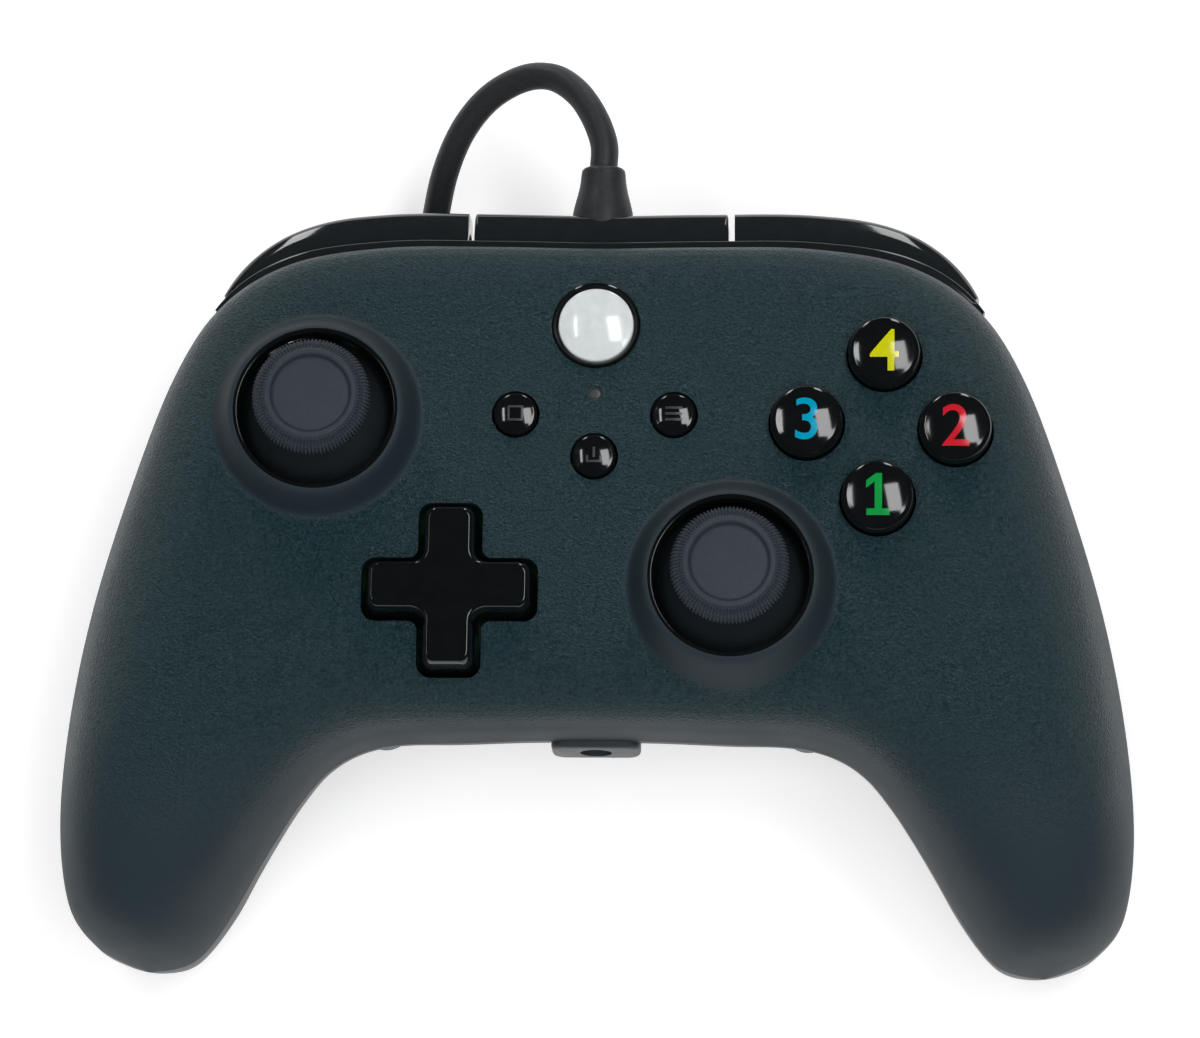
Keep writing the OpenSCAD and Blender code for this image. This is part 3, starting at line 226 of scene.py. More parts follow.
@dataclass(frozen=True)
class Finish:
    """One surface: two tints that mix fleck by fleck, its gloss and its grain."""

    name: str
    colour: Colour
    fleck: Colour
    rough: tuple[float, float]
    grain_mm: float
    depth_mm: float
    metallic: float = 0.0
    specular: float = 0.5
    coat: float = 0.0
    smooth: Colour | None = None

    @lru_cache(maxsize=None)
    def material(self) -> bpy.types.Material:
        """Builds the finish once.

        Returns:
            The node material.
        """
        made = bpy.data.materials.new(self.name)
        made.use_nodes = True
        tree = made.node_tree
        shader = tree.nodes["Principled BSDF"]
        preset(shader, Metallic=self.metallic, Specular_IOR_Level=self.specular, Coat_Weight=self.coat,
               Coat_Roughness=0.04)
        grain = tree.nodes.new("ShaderNodeGroup")
        grain.node_tree = grain_group()
        preset(grain, Scale=1.0 / (self.grain_mm * MM))
        tint = tree.nodes.new("ShaderNodeMix")
        tint.data_type = "RGBA"
        preset(tint, A=(*self.colour, 1.0), B=(*self.fleck, 1.0))
        contrast = tree.nodes.new("ShaderNodeMapRange")
        preset(contrast, From_Min=0.35, From_Max=0.65)
        drift = tree.nodes.new("ShaderNodeGroup")
        drift.node_tree = handling_group()
        preset(drift, Low=self.rough[0], High=self.rough[1])
        bump = tree.nodes.new("ShaderNodeBump")
        preset(bump, Distance=self.depth_mm * MM)
        links = tree.links
        links.new(grain.outputs["Fleck"], contrast.inputs["Value"])
        links.new(contrast.outputs["Result"], tint.inputs["Factor"])
        colour, height, rough = tint.outputs["Result"], grain.outputs["Height"], drift.outputs["Roughness"]
        if self.smooth:
            colour, height, rough = self.held_back(tree, colour, height, rough)
        links.new(colour, shader.inputs["Base Color"])
        links.new(rough, shader.inputs["Roughness"])
        links.new(height, bump.inputs["Height"])
        links.new(bump.outputs["Normal"], shader.inputs["Normal"])
        return made

    def held_back(self, tree: bpy.types.NodeTree, colour: bpy.types.NodeSocket, height: bpy.types.NodeSocket,
                  rough: bpy.types.NodeSocket) -> tuple[bpy.types.NodeSocket, ...]:
        """Holds the grain back where the piece's own mask says so.

        Args:
            tree: The material's tree.
            colour: Colour of the grained surface.
            height: Height of the grain.
            rough: Roughness of the grained surface.

        Returns:
            The colour, the height and the roughness, all smooth and matt outside the mask.
        """
        mask = tree.nodes.new("ShaderNodeAttribute")
        mask.attribute_name = GRAIN_MASK
        plain = tree.nodes.new("ShaderNodeMix")
        plain.data_type = "RGBA"
        preset(plain, A=(*self.smooth, 1.0))
        tree.links.new(mask.outputs["Fac"], plain.inputs["Factor"])
        tree.links.new(colour, plain.inputs["B"])
        bare = reckon(tree, "SUBTRACT", 1.0, mask.outputs["Fac"])
        return (plain.outputs["Result"], reckon(tree, "MULTIPLY", height, mask.outputs["Fac"]),
                reckon(tree, "MULTIPLY_ADD", bare, MATT_GAIN, rough))


FINISHES = {
    Slot.FACE: Finish("slate_grained", (0.0045, 0.0185, 0.0232), (0.0135, 0.0375, 0.0455),
                      (0.28, 0.35), 0.3, 0.34, specular=0.36, smooth=(0.017, 0.0275, 0.035)),
    Slot.BACK: Finish("charcoal_satin", (0.030, 0.035, 0.042), (0.034, 0.039, 0.046),
                      (0.42, 0.52), 0.3, 0.012),
    Slot.GLOSS: Finish("piano_black", (0.004, 0.0048, 0.0052), (0.005, 0.0058, 0.0062),
                       (0.05, 0.1), 1.6, 0.001),
    Slot.TRIGGER: Finish("trigger_satin", (0.012, 0.012, 0.013), (0.016, 0.016, 0.017),
                         (0.32, 0.42), 0.3, 0.02),
    Slot.CAP: Finish("thumb_rubber", (0.0235, 0.031, 0.041), (0.0295, 0.037, 0.048), (0.55, 0.65), 0.14, 0.01,
                     specular=0.3),
    Slot.PEARL: Finish("pearl_white", (0.6, 0.64, 0.64), (0.66, 0.69, 0.69),
                       (0.16, 0.22), 1.1, 0.001, coat=0.6),
    Slot.LENS: Finish("smoked_lens", (0.022, 0.03, 0.03), (0.028, 0.036, 0.036), (0.36, 0.44), 0.5, 0.002),
    Slot.FRAME: Finish("bracket_plastic", (0.05, 0.05, 0.055), (0.06, 0.06, 0.064), (0.5, 0.6), 0.4, 0.015),
    Slot.STEEL: Finish("bright_steel", (0.56, 0.56, 0.58), (0.62, 0.62, 0.63),
                       (0.22, 0.36), 0.25, 0.004, metallic=1.0),
    Slot.WEIGHT: Finish("sintered_metal", (0.30, 0.27, 0.22), (0.38, 0.35, 0.29),
                        (0.45, 0.6), 0.3, 0.03, metallic=1.0),
    Slot.POST: Finish("post_acetal", (0.55, 0.55, 0.53), (0.6, 0.6, 0.58), (0.4, 0.5), 0.5, 0.006),
    Slot.MAT: Finish("silicone_mat", (0.13, 0.13, 0.14), (0.16, 0.16, 0.17), (0.55, 0.7), 0.4, 0.015),
    Slot.BOARD: Finish("green_board", (0.012, 0.09, 0.035), (0.03, 0.16, 0.07), (0.3, 0.4), 1.4, 0.03),
    Slot.JACK: Finish("socket_plastic", (0.030, 0.034, 0.040), (0.036, 0.040, 0.046),
                      (0.42, 0.5), 0.3, 0.012),
    Slot.CORD: Finish("lead_jacket", (0.017, 0.0185, 0.0205), (0.023, 0.0245, 0.027), (0.42, 0.5), 0.3, 0.012,
                      specular=0.3),
    Slot.STRAP: Finish("woven_strap", (0.016, 0.016, 0.017), (0.03, 0.03, 0.032), (0.8, 0.9), 0.5, 0.08),
}


def ink(tint: str, colour: Colour, fleck: Colour) -> Finish:
    """A glossy printed ink."""
    return Finish(f"ink_{tint}", colour, fleck, (0.1, 0.14), 0.8, 0.001)


INKS = {
    "1": ink("green", (0.004, 0.25, 0.045), (0.005, 0.27, 0.05)),
    "2": ink("red", (0.47, 0.012, 0.022), (0.5, 0.013, 0.024)),
    "3": ink("blue", (0.0, 0.27, 0.43), (0.0, 0.29, 0.46)),
    "4": ink("yellow", (0.52, 0.52, 0.004), (0.55, 0.55, 0.004)),
}
SATIN = Finish("dome_satin", (0.009, 0.012, 0.0135), (0.011, 0.014, 0.016), (0.3, 0.38), 0.4, 0.002)
# Lighter copy of the gloss black for the gloss band, bridge and bumpers: its colour holds a painted sheen
# that stands in for reflected light.
EDGE_BLACK_PAINTED_SHEEN = Finish("edge_black_painted_sheen", (0.012, 0.015, 0.0165), (0.014, 0.017, 0.0185), (0.05, 0.1), 1.6, 0.001)
MARK = Finish("mark_grey", (0.03, 0.03, 0.032), (0.036, 0.036, 0.038), (0.3, 0.36), 0.5, 0.004)


# Mesh helpers, in millimetres


def smooth_line(points: Line, per: int) -> Line:
    """Runs a curve through a few points.

    Args:
        points: Points of the line.
        per: Steps from each point to the next.

    Returns:
        The points of the curve.
    """
    made: Line = []
    last = len(points) - 1
    for i in range(last):
        a = points[max(i - 1, 0)]
        b, c = points[i], points[i + 1]
        d = points[min(i + 2, last)]
        made += [tuple(blend4(a[k], b[k], c[k], d[k], j / per) for k in (0, 1)) for j in range(per)]
    return made + [points[-1]]


def blend4(a: float, b: float, c: float, d: float, f: float) -> float:
    """Value at share f from b to c, on the curve through a, b, c and d."""
    bend = 2 * a - 5 * b + 4 * c - d
    return 0.5 * (2 * b + (c - a) * f + bend * f * f + (3 * b - a - 3 * c + d) * f ** 3)


def arc(cx: float, cy: float, r: float, start: float, end: float, count: int) -> Line:
    """Points of an arc.

    Args:
        cx: Centre, first coordinate.
        cy: Centre, second coordinate.
        r: Radius.
        start: First angle in degrees.
        end: Last angle in degrees.
        count: Steps along the arc.

    Returns:
        The points from the first angle to the last.
    """
    angles = [math.radians(start + (end - start) * k / count) for k in range(count + 1)]
    return [(cx + r * math.cos(a), cy + r * math.sin(a)) for a in angles]


def turned(profile: Line, steps: int, closed: bool = False) -> bmesh.types.BMesh:
    """Spins a profile of radius and height about Z.

    Args:
        profile: Radius and height of each point.
        steps: Steps of the full turn.
        closed: Whether the profile's last point joins its first.

    Returns:
        The turned mesh with its faces pointing outwards.
    """
    bm = bmesh.new()
    verts = [bm.verts.new((r, 0.0, z)) for r, z in profile]
    pairs = list(zip(verts, verts[1:])) + ([(verts[-1], verts[0])] if closed else [])
    edges = [bm.edges.new(pair) for pair in pairs]
    bmesh.ops.spin(bm, geom=verts + edges, cent=(0, 0, 0), axis=(0, 0, 1), angle=math.tau, steps=steps,
                   use_merge=True)
    return closed_up(bm)


def closed_up(bm: bmesh.types.BMesh) -> bmesh.types.BMesh:
    """Merges doubles, drops slivers and turns the faces outwards.

    Args:
        bm: The mesh.

    Returns:
        The same mesh.
    """
    bmesh.ops.remove_doubles(bm, verts=bm.verts, dist=1e-4)
    bmesh.ops.dissolve_degenerate(bm, edges=bm.edges, dist=1e-5)
    bmesh.ops.recalc_face_normals(bm, faces=bm.faces)
    return bm


def moved(bm: bmesh.types.BMesh, x: float, y: float, z: float = 0.0) -> bmesh.types.BMesh:
    """Moves a whole mesh."""
    bmesh.ops.translate(bm, vec=(x, y, z), verts=bm.verts)
    return bm


def rod(radius: float, low: float, high: float, x: float, y: float, steps: int = 48) -> bmesh.types.BMesh:
    """Upright rod.

    Args:
        radius: Its radius.
        low: Height of its foot.
        high: Height of its top.
        x: Its axis.
        y: Its axis.
        steps: Sides of the rod.

    Returns:
        The closed mesh.
    """
    bm = bmesh.new()
    place = Matrix.Translation((x, y, (low + high) / 2))
    bmesh.ops.create_cone(bm, cap_ends=True, segments=steps, radius1=radius, radius2=radius, depth=high - low,
                          matrix=place)
    return bm


def box(low: Point, high: Point) -> bmesh.types.BMesh:
    """Box between two corners.

    Args:
        low: Its lowest corner.
        high: Its highest corner.

    Returns:
        The closed mesh.
    """
    bm = bmesh.new()
    size = [b - a for a, b in zip(low, high)]
    middle = [(a + b) / 2 for a, b in zip(low, high)]
    bmesh.ops.create_cube(bm, size=1.0, matrix=Matrix.Translation(middle) @ Matrix.Diagonal((*size, 1.0)))
    return bm


def gathered(parts: list[bmesh.types.BMesh]) -> bmesh.types.BMesh:
    """Puts several meshes into one and frees them.

    Args:
        parts: The meshes, which are freed.

    Returns:
        The whole mesh.
    """
    whole = bmesh.new()
    for part in parts:
        mesh = as_mesh(part, "part")
        whole.from_mesh(mesh)
        bpy.data.meshes.remove(mesh)
    return whole


def capped(bm: bmesh.types.BMesh) -> bmesh.types.BMesh:
    """Fills the open ends of a body and turns its faces outwards.

    Args:
        bm: The mesh.

    Returns:
        The same mesh.
    """
    bmesh.ops.holes_fill(bm, edges=[e for e in bm.edges if e.is_boundary], sides=0)
    bmesh.ops.recalc_face_normals(bm, faces=bm.faces)
    return bm


def laid_back(bm: bmesh.types.BMesh) -> bmesh.types.BMesh:
    """Turns an upright mesh over so that its axis runs along Y."""
    bmesh.ops.rotate(bm, cent=(0, 0, 0), matrix=Matrix.Rotation(-math.pi / 2, 3, "X"), verts=bm.verts)
    return bm


def part_way(value: float, start: float, end: float, least: float = 0.0) -> float:
    """Share of the way from start to end, held between a least share and 1."""
    return min(max((value - start) / (end - start), least), 1.0)


def lifted(rings: list[tuple[float, Line]]) -> bmesh.types.BMesh:
    """Closed body through outlines of equal count, each at its own height.

    Args:
        rings: Height and outline of each ring, from the foot up.

    Returns:
        The closed mesh.
    """
    bm = bmesh.new()
    before: list[bmesh.types.BMEdge] = []
    for z, outline in rings:
        verts = [bm.verts.new((x, y, z)) for x, y in outline]
        loop = [bm.edges.new((a, b)) for a, b in zip(verts, verts[1:] + verts[:1])]
        if before:
            bmesh.ops.bridge_loops(bm, edges=before + loop)
        before = loop
    return capped(bm)


def linked(name: str, data: bpy.types.ID) -> bpy.types.Object:
    """New object in the scene.

    Args:
        name: Its name.
        data: Its mesh, curve, lamp or camera.

    Returns:
        The object.
    """
    made = bpy.data.objects.new(name, data)
    bpy.context.scene.collection.objects.link(made)
    return made


def as_mesh(bm: bmesh.types.BMesh, name: str) -> bpy.types.Mesh:
    """Mesh data from a mesh that is freed.

    Args:
        bm: The mesh, which is freed.
        name: Name of the data.

    Returns:
        The data.
    """
    mesh = bpy.data.meshes.new(name)
    bm.to_mesh(mesh)
    bm.free()
    return mesh


def worked_out(made: bpy.types.Object) -> bmesh.types.BMesh:
    """Mesh of an object with its modifiers or its text worked out.

    Args:
        made: The object.

    Returns:
        Its mesh.
    """
    bpy.context.view_layer.update()
    mesh = bpy.data.meshes.new_from_object(made.evaluated_get(bpy.context.evaluated_depsgraph_get()))
    bm = bmesh.new()
    bm.from_mesh(mesh)
    bpy.data.meshes.remove(mesh)
    return bm


def carved(bm: bmesh.types.BMesh, tool: bmesh.types.BMesh, how: Cut) -> bmesh.types.BMesh:
    """Cuts a tool out of a mesh, or joins it on.

    Args:
        bm: The mesh, which is freed.
        tool: The tool, which is freed.
        how: What to do with the tool.

    Returns:
        The carved mesh.
    """
    base, knife = linked("base", as_mesh(bm, "base")), linked("knife", as_mesh(tool, "knife"))
    step = base.modifiers.new("carve", "BOOLEAN")
    step.object, step.operation, step.solver = knife, how.value, "EXACT"
    made = worked_out(base)
    for thing in (base, knife):
        data = thing.data
        bpy.data.objects.remove(thing)
        bpy.data.meshes.remove(data)
    bmesh.ops.remove_doubles(made, verts=made.verts, dist=1e-4)
    return made


def rounded_edges(bm: bmesh.types.BMesh, edges: list[bmesh.types.BMEdge], width: float, steps: int) -> None:
    """Rounds edges over.

    Args:
        bm: The mesh.
        edges: Its edges to round.
        width: Width of the round.
        steps: Steps over the round.
    """
    bmesh.ops.bevel(bm, geom=edges, offset=width, segments=steps, profile=0.5, affect="EDGES", material=-1,
                    clamp_overlap=True)


def even_shading(made: bpy.types.Object) -> bpy.types.Object:
    """Lets large faces lead the shading, so that cuts stay crisp.

    Args:
        made: The piece.

    Returns:
        The same piece.
    """
    step = made.modifiers.new("even", "WEIGHTED_NORMAL")
    step.keep_sharp = True
    step.weight = 60
    return made


@dataclass
class Piece:
    """A piece of the scene: its name, the body it rides on, its finish and the nodes it stands for."""

    name: str
    body: str
    finish: Finish
    nodes: tuple[str, ...] = ()
    slot: Slot | None = None
    crease_deg: float = 35.0

    def made(self, bm: bmesh.types.BMesh) -> bpy.types.Object:
        """Turns a mesh in millimetres into the piece.

        Args:
            bm: The mesh, which is freed.

        Returns:
            The object, riding on its body.
        """
        bmesh.ops.scale(bm, vec=(MM, MM, MM), verts=bm.verts)
        mesh = as_mesh(bm, self.name)
        mesh.shade_smooth()
        mesh.set_sharp_from_angle(angle=math.radians(self.crease_deg))
        return self.placed(linked(self.name, mesh))

    def placed(self, made: bpy.types.Object) -> bpy.types.Object:
        """Dresses an object in its finish, ties it to its body and hides the nodes it stands for.

        Args:
            made: The object.

        Returns:
            The same object.
        """
        made.data.materials.clear()
        made.data.materials.append(self.finish.material())
        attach(made, self.body)
        if self.nodes:
            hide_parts(*self.nodes)
        log.info("%s rides on %s", self.name, self.body)
        return made


def dressed(name: str, body: str, slot: Slot, *nodes: str) -> Piece:
    """A piece with the finish of its slot."""
    return Piece(name, body, FINISHES[slot], nodes, slot)


# Form of the body


@dataclass(eq=False)
class BodyForm:
    """Outline and sections that both shells and the bands on the top edge share."""

    half_w: float = 76.0
    edge_y: float = 45.5
    tip_y: float = 54.4
    waist_y: float = 23.0
    face_z: float = 46.0
    belly_z: float = 20.5
    seam: float = 0.2
    last: int = 13
    # Outer x and y, inner x and y, seam drops, roof drop, belly share, roundness of top and bottom
    shares: tuple = (
        (0, 1, 0, 0, 10, 16, 0, 1, 9, 5, 3, 3),
        (.197, 1.005, .125, .003, 10, 16, 0, 1, 9, 5, 3, 3),
        (.397, 1.003, .25, .012, 10, 16.5, 0, 1, 8, 5, 3, 3),
        (.574, .956, .363, .0175, 10.5, 17, 0, .98, 6.5, 4.6, 2.8, 2.8),
        (.706, .83, .439, .054, 12, 18, 0, .87, 4.6, 4.2, 2.6, 2.6),
        (.795, .613, .498, .134, 14, 19, 0, .69, 3.6, 3.8, 2.4, 2.5),
        (.875, .264, .546, .261, 17, 20, .2, .43, 3.1, 3.4, 2.3, 2.4),
        (.942, -.09, .589, .408, 20, 21.5, 1, .22, 2.9, 3, 2.3, 2.3),
        (.984, -.386, .63, .564, 22.5, 23, 3, .08, 2.7, 2.7, 2.3, 2.3),
        (1, -.644, .669, .718, 25, 25, 6, -.0097, 2.5, 2.5, 2.3, 2.3),
        (.984, -.84, .711, .86, 27, 27, 10.3, .1, 2.3, 2.3, 2.2, 2.2),
        (.937, -.932, .747, .947, 28, 28, 15, .3, 2.2, 2.2, 2.2, 2.2),
        (.886, -.974, .788, .986, 28.4, 28.4, 21.5, .57, 2.1, 2.1, 2.1, 2.1),
        (.836, -1, .836, 1, 28.5, 28.5, 28.5, .85, 2, 2, 2, 2),
    )
    fade_end: float = 0.08

    @lru_cache(maxsize=None)
    def row(self, i: int) -> tuple[float, ...]:
        """Sizes of one station; a negative number is the mirrored side, past the last runs on.

        Args:
            i: Number of the station.

        Returns:
            Its sizes in millimetres.
        """
        if i < 0:
            v = self.row(-i)
            return (-v[0], v[1], -v[2], *v[3:])
        if i > self.last:
            return tuple(2 * a - b for a, b in zip(self.row(self.last), self.row(self.last - 1)))
        r = self.shares[i]
        outer_y = r[1] * (self.edge_y if r[1] > 0 else self.tip_y)
        inner_y = -self.waist_y - r[3] * (self.tip_y - self.waist_y)
        heights = (self.face_z - r[4], self.face_z - r[5], self.face_z - r[6], self.belly_z * r[7])
        return (r[0] * self.half_w, outer_y, r[2] * self.half_w, inner_y, *heights, *r[8:])

    @lru_cache(maxsize=None)
    def station(self, s: float) -> tuple[float, ...]:
        """Sizes of the section at s, from the left tip to the right one.

        Args:
            s: The section.

        Returns:
            Its sizes in millimetres.
        """
        t = min(abs(s), self.last)
        i = min(int(t), self.last - 1)
        rows = [self.row(i + k) for k in (-1, 0, 1, 2)]
        v = tuple(blend4(*column, t - i) for column in zip(*rows))
        return (-v[0], v[1], -v[2], *v[3:]) if s < 0 else v

    def skin(self, s: float, angle: float, up: int) -> Point:
        """Point of a shell.

        Args:
            s: Section, from the left tip to the right one.
            angle: Angle round the section, from its outer side to its inner one.
            up: 1 for the face shell and -1 for the belly shell.

        Returns:
            The point in millimetres.
        """
        v = self.station(s)
        c, w = math.cos(angle), max(math.sin(angle), 0.0)
        n = v[(8 if c >= 0 else 9) + (0 if up > 0 else 2)]
        reach = (abs(c) ** n + w ** n) ** (1 / n)
        c, w = c / reach, w / reach
        low = (v[4] + v[5]) / 2 + (v[4] - v[5]) / 2 * c + up * self.seam / 2
        crown = v[6] if up > 0 else v[7]
        x = (v[0] + v[2]) / 2 + (v[0] - v[2]) / 2 * c
        y = (v[1] + v[3]) / 2 + (v[1] - v[3]) / 2 * c
        return (x, y, low + (crown - low) * w)

    def beside(self, s: float, n: float, z: float) -> Point:
        """Point at a distance n outside the top edge at s, at height z.

        Args:
            s: Section of the edge.
            n: Distance outside it.
            z: Height.

        Returns:
            The point in millimetres.
        """
        a, b, p = self.station(s - 0.02), self.station(s + 0.02), self.station(s)
        d = Vector((b[0] - a[0], b[1] - a[1])).normalized()
        return (p[0] - d.y * n, p[1] + d.x * n, z)

    def fade(self, s: float, ends: tuple[float, float]) -> float:
        """Share of the reach that a lip keeps at s: all of it, then rounding off between two sections."""
        part = max(0.0, (abs(s) - ends[0]) / (ends[1] - ends[0]))
        return self.fade_end + (1 - self.fade_end) * max(0.0, 1 - part * part)

    def edge_s(self, x: float) -> float:
        """Section of the top edge that lies at X."""
        first, second = self.row(1)[0], self.row(2)[0]
        return 1 + (x - first) / (second - first)

    def band(self, s0: float, s1: float, steps: int, profile: Line, hold: float = 0.0,
             ends: tuple[float, float] | None = None) -> bmesh.types.BMesh:
        """Sweeps a closed profile along the top edge.

        Args:
            s0: First section.
            s1: Last section.
            steps: Steps along the edge.
            profile: Distance outside the edge and height of each point.
            hold: Distance past which the shoulder rounds the band off.
            ends: Sections where the rounding starts and stops, or None.

        Returns:
            The closed band.
        """
        bm = bmesh.new()
        count = len(profile)
        bmesh.ops.create_grid(bm, x_segments=steps, y_segments=count, size=1.0)
        for v in bm.verts:
            s = round(s0 + (s1 - s0) * (v.co.x + 1) / 2, 6)
            n, z = profile[round((v.co.y + 1) / 2 * count) % count]
            if ends and n > hold:
                n = hold + (n - hold) * self.fade(s, ends)
            v.co = self.beside(s, n, z)
        bmesh.ops.remove_doubles(bm, verts=bm.verts, dist=1e-4)
        return capped(bm)

    def half_shell(self, up: int, columns: int, rows: int) -> bmesh.types.BMesh:
        """Outer skin of one shell.

        Args:
            up: 1 for the face shell and -1 for the belly shell.
            columns: Steps from tip to tip.
            rows: Steps round each section.

        Returns:
            The open skin, its faces pointing outwards.
        """
        bm = bmesh.new()
        bmesh.ops.create_grid(bm, x_segments=columns, y_segments=rows, size=1.0)
        for v in bm.verts:
            s = round(v.co.x * self.last, 6)
            v.co = self.skin(s, math.pi * (v.co.y + 1) / 2, up)
        bmesh.ops.remove_doubles(bm, verts=bm.verts, dist=1e-3)
        bm.normal_update()
        if sum(f.normal.z * f.calc_area() for f in bm.faces) * up < 0:
            bmesh.ops.reverse_faces(bm, faces=bm.faces)
        return bm


FORM = BodyForm()
GIMBAL_Z = 38.5
MOUTH_R = 10.9
LEAD_Z = 31.0
CUT_LOW = 36.0
CUT_HIGH = 60.0
STICK_PLACES = {Side.LEFT: (-38.9, 19.9), Side.RIGHT: (19.4, -3.8)}
PAD_PLACE = (-19.9, -4.9)
ACTION_CENTRE = (40.1, 18.7)
ACTION_LEAN = -2.3
ACTION_REACH = 10.4
ACTION_R = 5.05
SMALL_R = 3.05
SMALL_PLACES = {"button_select": (-11.1, 20.3), "button_menu": (11.1, 20.3), "button_share": (0.0, 14.3)}
HOME_PLACE = (0.0, 33.3)
LENS_PLACE = (0.0, 23.4)
BUTTON_GAP = 0.33
ACTION_TURNS = {"button_east": 0, "button_north": 1, "button_west": 2, "button_south": 3}


def action_place(name: str) -> tuple[float, float]:
    """Centre of an action button on the face.

    Args:
        name: The button's name.

    Returns:
        Its place in millimetres.
    """
    turn = math.radians(90 * ACTION_TURNS[name] + ACTION_LEAN)
    x, y = ACTION_CENTRE
    return (x + ACTION_REACH * math.cos(turn), y + ACTION_REACH * math.sin(turn))


def cross_outline(half: float, arm: float, corner: float, inner: float) -> Line:
    """Outline of the direction pad.

    Args:
        half: Half span of the cross.
        arm: Half width of an arm.
        corner: Radius at the ends of the arms.
        inner: Radius in the inner corners.

    Returns:
        The outline, counter-clockwise.
    """
    one = arc(half - corner, -arm + corner, corner, -90, 0, 6)
    one += arc(half - corner, arm - corner, corner, 0, 90, 6)
    one += arc(arm + inner, arm + inner, inner, 270, 180, 6)
    made: Line = []
    for q in range(4):
        c, s = round(math.cos(math.pi / 2 * q)), round(math.sin(math.pi / 2 * q))
        made += [(x * c - y * s + PAD_PLACE[0], x * s + y * c + PAD_PLACE[1]) for x, y in one]
    return made


def plate_outline(w: float, h: float, r: float) -> Line:
    """Rounded rectangle about the origin."""
    corners = ((1, 1, 0), (-1, 1, 90), (-1, -1, 180), (1, -1, 270))
    return [p for i, j, a in corners for p in arc(i * (w / 2 - r), j * (h / 2 - r), r, a, a + 90, 6)]


